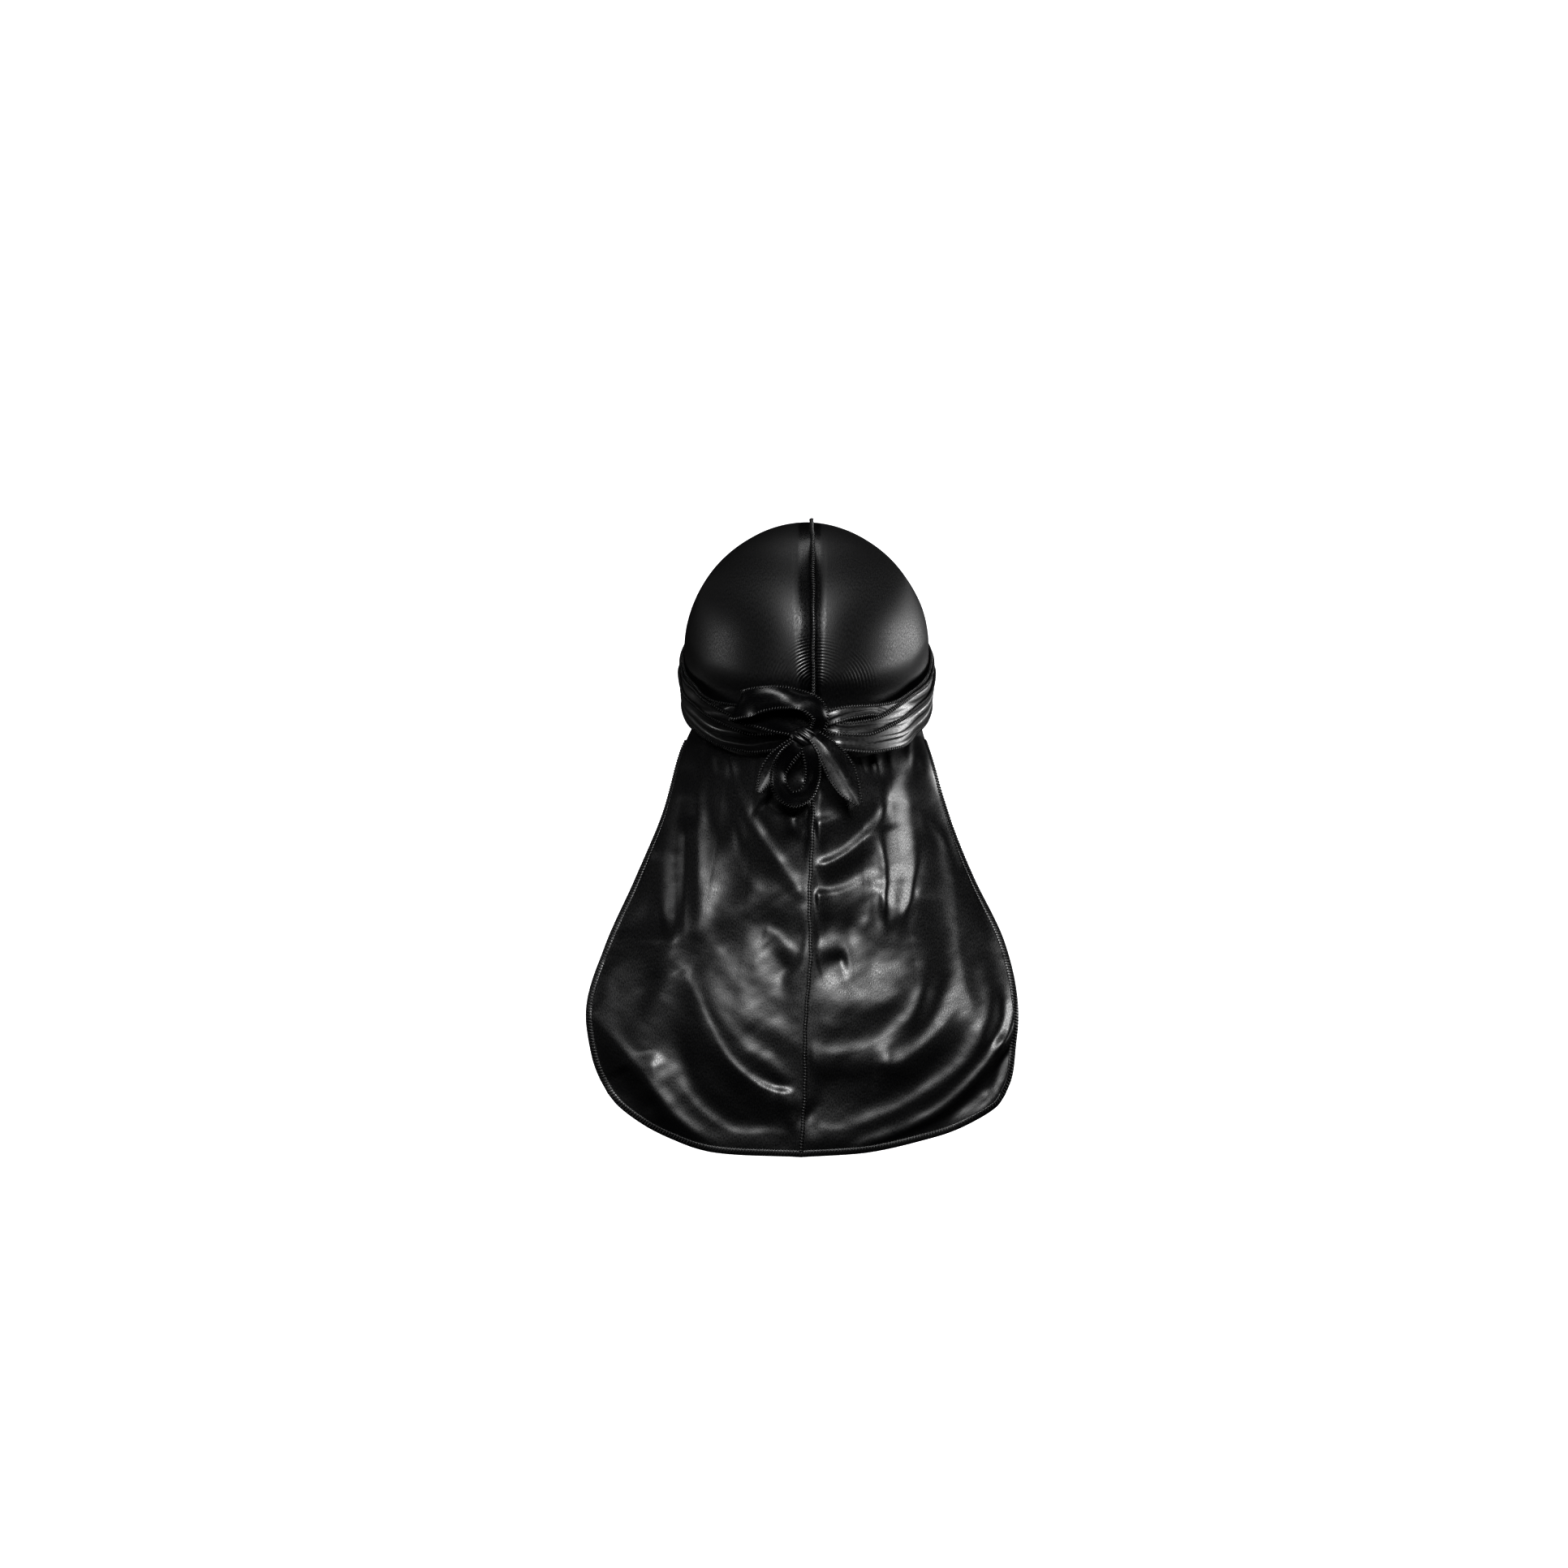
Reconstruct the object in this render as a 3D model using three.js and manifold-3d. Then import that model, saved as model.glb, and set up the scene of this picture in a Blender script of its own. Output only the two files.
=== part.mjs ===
// A satin durag as it is worn: a close cap of two cloth panels that run on into a tail over the
// neck, a raised seam where they join, and two long straps that wrap the head and tie in a bow.
// Millimetres, +Z up, +Y the way the wearer faces. The origin is the inside of the cap's top.
import * as THREE from "three";
import { mergeVertices } from "three/addons/utils/BufferGeometryUtils.js";
import Module from "manifold-3d";

const wasm = await Module();
wasm.setup();

// Cloth and the clearances between cloths that lie on each other
const CLOTH = 1.0;
const REST_GAP = 0.35;
const FIRST_GAP = 0.6;
const LAYER_PITCH = CLOTH + 0.4;
const FIRST_LAYER = CLOTH + FIRST_GAP;

// The head's form under the cap: a rounded dome above the widest level, a long taper below it
const HEAD = {
  halfWidth: 80,
  front: 97,
  back: 99,
  rise: 82,
  drop: 165,
  widest: -81.5,
  power: 1.9,
};

// The two panels meet on a line a little to the wearer's right of the middle
const SEAM_SHIFT = 3;
const SEAM_HALF_GAP = 0.3;
const FRONT_EDGE = -88;
const NAPE_MARGIN = 2.5;
const SIDE_EDGE = {
  temple: { angle: 130, height: -92 },
  ear: { angle: 78, height: -133 },
};
const CROWN_ROWS = 16;
const TAIL_ROWS = 28;
const PANEL_COLUMNS = 16;

// The overlocked hem round the tail and along the front edge
const HEM = { width: 4.3, thickness: 1.4, start: 0.06 };
const HEM_GAP = 1.5;
const FRONT_HEM = { width: 3.2, thickness: 1.6, columns: 20 };

// The lowest line of the wrapped straps round the back of the head, from its middle to a side
const WRAP_FOOT = [
  { angle: 0, height: -151 },
  { angle: 23, height: -151.6 },
  { angle: 39, height: -148 },
  { angle: 53, height: -141.5 },
  { angle: 75, height: -131 },
  { angle: 90, height: -120 },
];

// The tail's outer line on each side, from under the straps to its lower corner and the middle
const TAIL_EDGE = {
  right: {
    side: [
      { x: 79, y: -28, z: -150 },
      { x: 93, y: -45, z: -197 },
      { x: 106, y: -60, z: -230 },
      { x: 125, y: -78, z: -271 },
      { x: 132.5, y: -87, z: -306 },
      { x: 131, y: -91, z: -340 },
      { x: 128.5, y: -92.5, z: -356 },
      { x: 124, y: -94.5, z: -367 },
    ],
    foot: [
      { x: 118.5, y: -96.5, z: -374 },
      { x: 94, y: -104, z: -387.5 },
      { x: 69, y: -112, z: -394.5 },
      { x: 38, y: -119, z: -400.5 },
    ],
  },
  left: {
    side: [
      { x: -82, y: -28, z: -150 },
      { x: -93, y: -45, z: -190 },
      { x: -110, y: -60, z: -231 },
      { x: -128, y: -78, z: -272 },
      { x: -140, y: -87, z: -311 },
      { x: -137, y: -91, z: -340 },
      { x: -132.5, y: -92.5, z: -354 },
      { x: -126, y: -95, z: -366 },
    ],
    foot: [
      { x: -119.5, y: -97, z: -373.5 },
      { x: -104, y: -102, z: -384.5 },
      { x: -84.5, y: -109, z: -393.5 },
      { x: -61, y: -116, z: -400.5 },
    ],
  },
};

// The seam's own line down the middle of the tail
const TAIL_SEAM = [
  { x: 3, y: -93.5, z: -165 },
  { x: 3, y: -100, z: -200 },
  { x: 1, y: -108, z: -240 },
  { x: 1.5, y: -114, z: -280 },
  { x: -1.7, y: -119, z: -320 },
  { x: -2, y: -122, z: -360 },
  { x: -4.5, y: -124, z: -403 },
];

// The tail's main folds: a crest from one point through a second to a third, seen from behind
const FOLDS = [
  { name: "left_edge_pleat", from: [-81, -164], via: [-86, -216], to: [-90, -268], half: 10, height: 3 },
  { name: "left_long_pleat", from: [-66, -152], via: [-67, -196], to: [-66, -258], half: 10, height: 6 },
  { name: "left_slant", from: [-48, -152], via: [-32, -192], to: [-4, -238], half: 11, height: 6 },
  { name: "left_peak", from: [-80, -290], via: [-50, -336], to: [-7, -362], half: 12, height: 5 },
  { name: "left_broad_swag", from: [-56, -262], via: [-38, -288], to: [-14, -312], half: 15, height: 4 },
  { name: "left_low_swag", from: [-92, -340], via: [-58, -381], to: [-6, -388], half: 11, height: 4 },
  { name: "right_high_swag", from: [8, -222], via: [31, -212], to: [52, -180], half: 12, height: 5 },
  { name: "right_long_pleat", from: [60, -152], via: [63, -196], to: [65, -242], half: 10, height: 6 },
  { name: "right_edge_pleat", from: [74, -156], via: [88, -216], to: [97, -290], half: 10, height: 4 },
  { name: "right_broad_swag", from: [8, -296], via: [36, -297], to: [66, -280], half: 15, height: 4 },
  { name: "right_deep_swag", from: [8, -344], via: [46, -335], to: [80, -296], half: 12, height: 5 },
  { name: "right_low_swag", from: [8, -384], via: [72, -366], to: [110, -306], half: 11, height: 4 },
];
const FOLD_START = { from: -2, over: 22 };
// Shares across the tail between which the folds fade out beside the seam and the hem
const FOLD_FREE = { seam: 0.04, inner: 0.14, outer: 0.88, hem: 0.96 };

// One strap's way round the head, as edges at angles from the back's middle: it starts sewn at
// the temple, passes behind, crosses the brow and comes back to the knot over the other wraps
const STRAP_ROUTE = [
  { angle: 130, top: -66, foot: -91, layer: 1 },
  { angle: 110, top: -73, foot: -101, layer: 1 },
  { angle: 90, top: -86, foot: -113, layer: 1 },
  { angle: 75, top: -99, foot: -122, layer: 1 },
  { angle: 53, top: -111, foot: -130, layer: 1 },
  { angle: 39, top: -118.5, foot: -133, layer: 1 },
  { angle: 28, top: -121, foot: -126.5, layer: 1 },
  { angle: 14, top: -122, foot: -130, layer: 2 },
  { angle: 0, top: -127, foot: -139, layer: 2 },
  { angle: -14, top: -132.8, foot: -145, layer: 2 },
  { angle: -28, top: -129.2, foot: -141, layer: 2 },
  { angle: -39, top: -121, foot: -137, layer: 2 },
  { angle: -53, top: -113, foot: -133, layer: 2 },
  { angle: -75, top: -103, foot: -124, layer: 2 },
  { angle: -90, top: -90, foot: -114, layer: 2 },
  { angle: -120, top: -68, foot: -100, layer: 2 },
  { angle: -150, top: -58, foot: -72.5, layer: 2 },
  { angle: -165, top: -57, foot: -71, layer: 2 },
  { angle: -180, top: -63, foot: -79, layer: 2 },
  { angle: -195, top: -72.5, foot: -86, layer: 2 },
  { angle: -210, top: -74, foot: -88, layer: 3 },
  { angle: -240, top: -80, foot: -104, layer: 3 },
  { angle: -270, top: -97, foot: -120, layer: 3 },
  { angle: -285, top: -112, foot: -131, layer: 3 },
  { angle: -307, top: -122.5, foot: -141.5, layer: 3 },
  { angle: -321, top: -130, foot: -148, layer: 3 },
  { angle: -337, top: -140, foot: -151.6, layer: 3 },
  { angle: -352, top: -139, foot: -149, layer: 3 },
  { angle: -357, top: -138, foot: -147, layer: 3 },
];
// Where the straps cross, the right one lies inside at the brow and outside at the nape
const LEFT_CROSSING = { nape: 1, brow: 3 };
const STRAP_STEP = 9;
const STRAP_COLUMNS = 4;

// The straps stand off the seam where they pass over it
const SEAM_LIFT = { height: 1.8, spread: 15 };

// The bow's tight wrap, and the loops and strap ends that come out of it, as sections along each
const KNOT = { x: -1, y: -103.1, z: -142.5, halfWidth: 10.5, halfDepth: 6, halfHeight: 8.5 };
const BOW = {
  bow_loop_upper: [
    { x: 0, y: -104.5, z: -139, half: 6, lean: 74, bulge: 0.5 },
    { x: -8, y: -103.8, z: -133, half: 9, lean: 76, bulge: 1 },
    { x: -20, y: -102.5, z: -126, half: 12, lean: 78, bulge: 1.5 },
    { x: -33, y: -99.5, z: -123, half: 13, lean: 80, bulge: 1 },
    { x: -42, y: -98.5, z: -123, half: 12.5, lean: 70, bulge: 0 },
    { x: -45, y: -101.5, z: -123.5, half: 12, lean: 66, bulge: 0 },
    { x: -41, y: -106, z: -123, half: 12, lean: 68, bulge: 0.5 },
    { x: -28, y: -110, z: -122, half: 12, lean: 78, bulge: 1.5 },
    { x: -12, y: -112, z: -123.5, half: 11.5, lean: 86, bulge: 2 },
    { x: 0, y: -111.5, z: -129, half: 9, lean: 95, bulge: 1.5 },
    { x: 4, y: -109.5, z: -137, half: 6, lean: 100, bulge: 0.5 },
  ],
  bow_loop_lower: [
    { x: -3, y: -106, z: -146, half: 5, lean: 12, bulge: 0.5 },
    { x: -8, y: -106, z: -154, half: 8, lean: 8, bulge: 0.5 },
    { x: -11, y: -106, z: -165, half: 10, lean: 4, bulge: 0.5 },
    { x: -12, y: -106.5, z: -177, half: 11, lean: 6, bulge: 0.5 },
    { x: -11.5, y: -110, z: -183, half: 11, lean: 10, bulge: 0 },
    { x: -11, y: -115, z: -182, half: 10.5, lean: 12, bulge: 0 },
    { x: -10, y: -118, z: -172, half: 9.5, lean: 10, bulge: 0.5 },
    { x: -7, y: -117, z: -160, half: 8, lean: 6, bulge: 0.5 },
    { x: -3, y: -113.5, z: -150, half: 5.5, lean: 4, bulge: 0.5 },
    { x: 0, y: -110, z: -145, half: 4.5, lean: 4, bulge: 0.5 },
  ],
  strap_end_right: [
    { x: 7, y: -109, z: -143, half: 4.5, lean: 40, bulge: 1 },
    { x: 13, y: -110.5, z: -149, half: 6.5, lean: 38, bulge: 1.5 },
    { x: 19, y: -111, z: -157, half: 8.5, lean: 32, bulge: 1.5 },
    { x: 24.5, y: -110.5, z: -166, half: 9, lean: 24, bulge: 1.5 },
    { x: 29, y: -109.5, z: -175, half: 7, lean: 18, bulge: 1 },
    { x: 33, y: -109, z: -184, half: 1.2, lean: 14, bulge: 0 },
  ],
  strap_end_left: [
    { x: -5, y: -106, z: -144, half: 4, lean: -40, bulge: 0.5 },
    { x: -14, y: -103.3, z: -150, half: 5, lean: -42, bulge: 0.5 },
    { x: -22, y: -101.8, z: -158, half: 5.5, lean: -36, bulge: 0.5 },
    { x: -28, y: -100.5, z: -166, half: 5, lean: -30, bulge: 0.5 },
    { x: -34, y: -99, z: -175, half: 1.4, lean: -26, bulge: 0 },
  ],
};
const BOW_SECTIONS = 18;
const END_SECTIONS = 12;
const RIBBON_COLUMNS = 4;

// The raised seam's size along its length: on the cap, under the straps and down the tail
const BROW_WRAP = 0.19;
const NAPE_WRAP = 0.83;
const SEAM = {
  cap: { width: 1.5, height: 3.2 },
  wrapped: { width: 3, height: 0.9 },
  tail: { width: 3.6, height: 1.4 },
};

const radians = THREE.MathUtils.degToRad;
const smoothstep = THREE.MathUtils.smoothstep;
const mix = THREE.MathUtils.lerp;

// The centre that the head's form is measured from
const HEAD_CENTRE = new THREE.Vector3(0, 0, HEAD.widest);

// A point on the head's form in a direction from its centre
function headPoint(direction, offset = 0) {
  const d = direction.clone().normalize();
  const deep = d.y > 0 ? HEAD.front : HEAD.back;
  const tall = d.z > 0 ? HEAD.rise : HEAD.drop;
  const share = (value, reach) => Math.abs(value / reach) ** HEAD.power;
  const sum = share(d.x, HEAD.halfWidth) + share(d.y, deep) + share(d.z, tall);
  return d.multiplyScalar(sum ** (-1 / HEAD.power) + offset).add(HEAD_CENTRE);
}

// A point on the head's form at an angle from the back's middle and at a height
function bandPoint(degrees, height, offset = 0) {
  const tall = height > HEAD.widest ? HEAD.rise : HEAD.drop;
  const section = (1 - Math.abs((height - HEAD.widest) / tall) ** HEAD.power) ** (1 / HEAD.power);
  const sideways = Math.sin(radians(degrees));
  const forwards = -Math.cos(radians(degrees));
  const deep = forwards > 0 ? HEAD.front : HEAD.back;
  const sum = Math.abs(sideways / HEAD.halfWidth) ** HEAD.power + Math.abs(forwards / deep) ** HEAD.power;
  const reach = section * sum ** (-1 / HEAD.power) + offset;
  return new THREE.Vector3(sideways * reach, forwards * reach, height);
}

// A value between the rows of a table, by its first column
function lookUp(table, column, at, key) {
  const rising = table[table.length - 1][key] > table[0][key];
  const after = table.findIndex((row) => (rising ? row[key] >= at : row[key] <= at));
  if (after < 0) return table[table.length - 1][column];
  if (after === 0) return table[0][column];
  const a = table[after - 1];
  const b = table[after];
  return mix(a[column], b[column], (at - a[key]) / (b[key] - a[key]));
}

// A smooth curve through a table's points
function curveThrough(points) {
  return new THREE.CatmullRomCurve3(points.map((p) => new THREE.Vector3(p.x, p.y, p.z)), false, "centripetal");
}

// Cuts the closed surface between two rails of points: middle points thickened and shut all round
function wall(rows, thickness) {
  const down = rows.length;
  const across = rows[0].length;
  const clampRow = (j) => rows[Math.max(0, Math.min(down - 1, j))];
  const normalAt = (j, i) => {
    const along = clampRow(j + 1)[i].clone().sub(clampRow(j - 1)[i]);
    const row = rows[j];
    const sideways = row[Math.min(i + 1, across - 1)].clone().sub(row[Math.max(i - 1, 0)]);
    return sideways.cross(along).normalize();
  };
  const positions = [];
  for (const share of [0.5, -0.5]) {
    rows.forEach((row, j) => {
      row.forEach((point, i) => {
        positions.push(...point.clone().addScaledVector(normalAt(j, i), share * thickness));
      });
    });
  }
  const at = (face, j, i) => (face * down + j) * across + i;
  const faces = [];
  const quad = (a, b, c, d) => faces.push(a, b, c, a, c, d);
  for (let j = 0; j < down - 1; j += 1) {
    for (let i = 0; i < across - 1; i += 1) {
      quad(at(0, j, i), at(0, j, i + 1), at(0, j + 1, i + 1), at(0, j + 1, i));
      quad(at(1, j, i), at(1, j + 1, i), at(1, j + 1, i + 1), at(1, j, i + 1));
    }
  }
  const border = [];
  for (let i = 0; i < across - 1; i += 1) border.push([0, i]);
  for (let j = 0; j < down - 1; j += 1) border.push([j, across - 1]);
  for (let i = across - 1; i > 0; i -= 1) border.push([down - 1, i]);
  for (let j = down - 1; j > 0; j -= 1) border.push([j, 0]);
  border.forEach((p, k) => {
    const q = border[(k + 1) % border.length];
    quad(at(0, ...q), at(0, ...p), at(1, ...p), at(1, ...q));
  });
  return facingOut(positions, faces);
}

// Turns a closed surface's faces outwards if they point in
function facingOut(positions, faces) {
  const geometry = new THREE.BufferGeometry();
  geometry.setAttribute("position", new THREE.Float32BufferAttribute(positions, 3));
  const corner = (k) => new THREE.Vector3().fromArray(positions, 3 * k);
  let volume = 0;
  for (let k = 0; k < faces.length; k += 3) {
    volume += corner(faces[k]).dot(corner(faces[k + 1]).cross(corner(faces[k + 2])));
  }
  geometry.setIndex(volume < 0 ? faces.slice().reverse() : faces);
  geometry.computeVertexNormals();
  return geometry;
}

// The direction of the cap's middle line at a share of the way from the brow to the nape
function middleDirection(share) {
  const brow = bandPoint(180, FRONT_EDGE).sub(HEAD_CENTRE);
  const nape = bandPoint(0, WRAP_FOOT[0].height - NAPE_MARGIN).sub(HEAD_CENTRE);
  const start = Math.atan2(brow.z, brow.y);
  const end = Math.atan2(nape.z, nape.y) + 2 * Math.PI;
  const angle = mix(start, end, share);
  return new THREE.Vector3(SEAM_SHIFT / HEAD.rise, Math.cos(angle), Math.sin(angle)).normalize();
}

// The direction of the cap's side edge, from the temple to behind the ear
function sideDirection(side, share) {
  const angle = mix(SIDE_EDGE.temple.angle, SIDE_EDGE.ear.angle, share);
  const height = mix(SIDE_EDGE.temple.height, SIDE_EDGE.ear.height, share);
  return bandPoint(side * angle, height).sub(HEAD_CENTRE).normalize();
}

function turnBetween(a, b, share) {
  const angle = a.angleTo(b);
  const from = a.clone().multiplyScalar(Math.sin((1 - share) * angle));
  return from.addScaledVector(b, Math.sin(share * angle)).divideScalar(Math.sin(angle));
}

// The nape line, just under the straps, where the cap becomes the tail
function napePoint(side, u) {
  const start = THREE.MathUtils.radToDeg(Math.asin(SEAM_SHIFT / HEAD.back)) * side;
  const angle = mix(start, SIDE_EDGE.ear.angle, u);
  const under = lookUp(WRAP_FOOT, "height", Math.abs(angle), "angle") - NAPE_MARGIN;
  const height = mix(under, SIDE_EDGE.ear.height, smoothstep(u, 0.7, 1));
  return bandPoint(side * angle, height);
}

// A point of the cap, on one side, by shares across from the seam and back from the brow
function capPoint(side, u, v) {
  const direction = turnBetween(middleDirection(v), sideDirection(side, v), u);
  const last = turnBetween(middleDirection(1), sideDirection(side, 1), u);
  const nape = napePoint(side, u).sub(HEAD_CENTRE).normalize();
  return headPoint(direction.addScaledVector(nape.sub(last), v ** 3));
}

// The tail's four border lines on one side, as curves from shares 0 to 1
function tailBorders(side) {
  const edge = side > 0 ? TAIL_EDGE.right : TAIL_EDGE.left;
  const corner = edge.side[edge.side.length - 1];
  const middle = TAIL_SEAM[TAIL_SEAM.length - 1];
  return {
    seam: curveThrough([napePoint(side, 0), ...TAIL_SEAM]),
    side: curveThrough([napePoint(side, 1), ...edge.side]),
    foot: curveThrough([corner, ...edge.foot, middle]),
  };
}
const BORDERS = { 1: tailBorders(1), "-1": tailBorders(-1) };

// A point of the tail before it is folded, stretched between its four borders
function plainTailPoint(side, u, v) {
  const { seam, side: edge, foot } = BORDERS[side];
  const top = napePoint(side, u);
  const bottom = foot.getPointAt(1 - u);
  const inner = seam.getPointAt(v);
  const outer = edge.getPointAt(v);
  const point = top.clone().multiplyScalar(1 - v).addScaledVector(bottom, v);
  point.addScaledVector(inner, 1 - u).addScaledVector(outer, u);
  point.addScaledVector(napePoint(side, 0), -(1 - u) * (1 - v));
  point.addScaledVector(napePoint(side, 1), -u * (1 - v));
  point.addScaledVector(foot.getPointAt(1), -(1 - u) * v);
  point.addScaledVector(foot.getPointAt(0), -u * v);
  return point;
}

// Each fold's crest as a fine line of points
const CRESTS = FOLDS.map((fold) => {
  const [from, via, to] = [fold.from, fold.via, fold.to].map((p) => new THREE.Vector2(...p));
  const control = via.clone().multiplyScalar(2).sub(from.clone().add(to).multiplyScalar(0.5));
  return { ...fold, line: new THREE.QuadraticBezierCurve(from, control, to).getPoints(14) };
});

function distanceToLine(point, line) {
  let nearest = Infinity;
  for (let k = 0; k < line.length - 1; k += 1) {
    const step = line[k + 1].clone().sub(line[k]);
    const share = THREE.MathUtils.clamp(point.clone().sub(line[k]).dot(step) / step.lengthSq(), 0, 1);
    nearest = Math.min(nearest, point.distanceTo(line[k].clone().addScaledVector(step, share)));
  }
  return nearest;
}

// How far the folds push the tail out at a point seen from behind
function foldHeight(x, z) {
  const point = new THREE.Vector2(x, z);
  const rise = (fold) => fold.height * Math.exp(-((distanceToLine(point, fold.line) / fold.half) ** 2));
  return CRESTS.reduce((sum, fold) => sum + rise(fold), 0);
}

// A point of the folded tail, pushed out along the plain tail's own normal
function tailPoint(side, u, v) {
  const step = 0.01;
  const point = plainTailPoint(side, u, v);
  const acrossStep = u > 0.5 ? -step : step;
  const downStep = v > 0.5 ? -step : step;
  const sideways = plainTailPoint(side, u + acrossStep, v).sub(point).divideScalar(acrossStep);
  const along = plainTailPoint(side, u, v + downStep).sub(point).divideScalar(downStep);
  const normal = sideways.cross(along).normalize();
  if (normal.y > 0) normal.negate();
  const below = napePoint(side, u).z - point.z;
  const grown = smoothstep(below, FOLD_START.from, FOLD_START.over);
  const still = smoothstep(u, FOLD_FREE.seam, FOLD_FREE.inner) * (1 - smoothstep(u, FOLD_FREE.outer, FOLD_FREE.hem));
  return point.addScaledVector(normal, foldHeight(point.x, point.z) * grown * still);
}

// The share of the tail's width and length that a strip of the hem's kind takes at its border
function hemShares(side, v, width) {
  const { seam, side: edge } = BORDERS[side];
  const across = seam.getPointAt(v).distanceTo(edge.getPointAt(v));
  return { across: width / across, down: width / seam.getLength() };
}

// One panel: half of the cap and half of the tail in one cloth
function panel(side) {
  const aside = side * SEAM_HALF_GAP;
  const cut = HEM.width + HEM_GAP;
  const rows = [];
  for (let j = 0; j <= CROWN_ROWS + TAIL_ROWS; j += 1) {
    const onCap = j <= CROWN_ROWS;
    const whole = onCap ? j / CROWN_ROWS : (j - CROWN_ROWS) / TAIL_ROWS;
    const take = hemShares(side, onCap ? 0 : whole, cut);
    const row = [];
    for (let i = 0; i <= PANEL_COLUMNS; i += 1) {
      const u = i / PANEL_COLUMNS;
      const inset = 1 - take.across * smoothstep(whole, 0, HEM.start);
      const v = whole * (1 - take.down);
      const point = onCap ? capPoint(side, u, whole) : tailPoint(side, u * inset, v);
      point.x += aside;
      row.push(point);
    }
    rows.push(row);
  }
  return wall(rows, CLOTH);
}

// The hem round the tail's outer line, down one side, across the foot and up the other
function tailHem() {
  const halfLine = (side) => {
    const line = [];
    for (let k = 2; k <= TAIL_ROWS; k += 1) {
      const v = k / TAIL_ROWS;
      const take = hemShares(side, v, HEM.width);
      line.push([tailPoint(side, 1, v), tailPoint(side, 1 - take.across, v * (1 - take.down))]);
    }
    const foot = hemShares(side, 1, HEM.width);
    for (let k = PANEL_COLUMNS - 1; k >= 0; k -= 1) {
      const u = k / PANEL_COLUMNS;
      line.push([tailPoint(side, u, 1), tailPoint(side, u * (1 - foot.across), 1 - foot.down)]);
    }
    return line;
  };
  const right = halfLine(1);
  const left = halfLine(-1);
  left.pop();
  return wall([...left, ...right.reverse()], HEM.thickness);
}

// The hem along the cap's front edge, from temple to temple
function frontHem() {
  const rows = [];
  const count = FRONT_HEM.columns;
  for (let k = -count; k <= count; k += 1) {
    const side = k < 0 ? -1 : 1;
    const u = (Math.abs(k) / count) * 0.97;
    const edge = capPoint(side, u, 0);
    const drop = new THREE.Vector3(0, 0, -1);
    const upper = edge.clone().addScaledVector(drop, CLOTH / 2 + REST_GAP);
    rows.push([upper, edge.clone().addScaledVector(drop, FRONT_HEM.width)]);
  }
  return wall(rows, FRONT_HEM.thickness);
}

// The raised seam down the middle, from the front edge over the top to the tail's hem
function centreSeam() {
  const stations = [];
  for (let j = 0; j <= CROWN_ROWS * 2; j += 1) {
    const share = j / (CROWN_ROWS * 2);
    const point = headPoint(middleDirection(share));
    const wrapped = share < BROW_WRAP || share > NAPE_WRAP;
    stations.push({ point, size: wrapped ? SEAM.wrapped : SEAM.cap });
  }
  const take = hemShares(1, 1, HEM.width + HEM_GAP);
  for (let j = 1; j <= TAIL_ROWS; j += 1) {
    const v = (j / TAIL_ROWS) * (1 - take.down);
    stations.push({ point: BORDERS[1].seam.getPointAt(v), size: j < 2 ? SEAM.wrapped : SEAM.tail });
  }
  const sideways = new THREE.Vector3(1, 0, 0);
  const rows = stations.map(({ point, size }, j) => {
    const before = stations[Math.max(j - 1, 0)].point;
    const after = stations[Math.min(j + 1, stations.length - 1)].point;
    const outwards = after.clone().sub(before).cross(sideways).normalize();
    if (outwards.dot(point.clone().sub(HEAD_CENTRE)) < 0) outwards.negate();
    const middle = point.clone().addScaledVector(outwards, CLOTH / 2 + REST_GAP + size.height / 2);
    return { middle, outwards, size };
  });
  return bar(rows, sideways);
}

// A bar of changing width and height along a line of middles
function bar(rows, sideways) {
  const positions = [];
  const corners = [[-1, -1], [1, -1], [1, 1], [-1, 1]];
  for (const { middle, outwards, size } of rows) {
    for (const [across, out] of corners) {
      const corner = middle.clone().addScaledVector(sideways, (across * size.width) / 2);
      positions.push(...corner.addScaledVector(outwards, (out * size.height) / 2));
    }
  }
  const faces = [];
  for (let j = 0; j < rows.length - 1; j += 1) {
    for (let k = 0; k < 4; k += 1) {
      const a = 4 * j + k;
      const b = 4 * j + ((k + 1) % 4);
      faces.push(a, b, b + 4, a, b + 4, a + 4);
    }
  }
  const end = 4 * (rows.length - 1);
  faces.push(0, 3, 2, 0, 2, 1, end, end + 1, end + 2, end, end + 2, end + 3);
  return facingOut(positions, faces);
}

// One strap, from the temple round the head and a half to the knot
function strap(side) {
  const first = STRAP_ROUTE[0].angle;
  const last = STRAP_ROUTE[STRAP_ROUTE.length - 1].angle;
  const angles = [first];
  for (let angle = Math.floor(first / STRAP_STEP) * STRAP_STEP; angle > last; angle -= STRAP_STEP) {
    if (angle < first) angles.push(angle);
  }
  angles.push(last);
  const rows = angles.map((angle) => {
    const top = lookUp(STRAP_ROUTE, "top", angle, "angle");
    const foot = lookUp(STRAP_ROUTE, "foot", angle, "angle");
    const layer = strapLayer(side, angle);
    const fromMiddle = Math.abs(THREE.MathUtils.euclideanModulo(angle + 90, 180) - 90);
    const lift = SEAM_LIFT.height * (1 - smoothstep(fromMiddle, 0, SEAM_LIFT.spread));
    const offset = FIRST_LAYER + (layer - 1) * LAYER_PITCH + lift;
    const row = [];
    for (let i = 0; i <= STRAP_COLUMNS; i += 1) {
      row.push(bandPoint(side * angle, mix(foot, top, i / STRAP_COLUMNS), offset));
    }
    return row;
  });
  return wall(rows, CLOTH);
}

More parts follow.
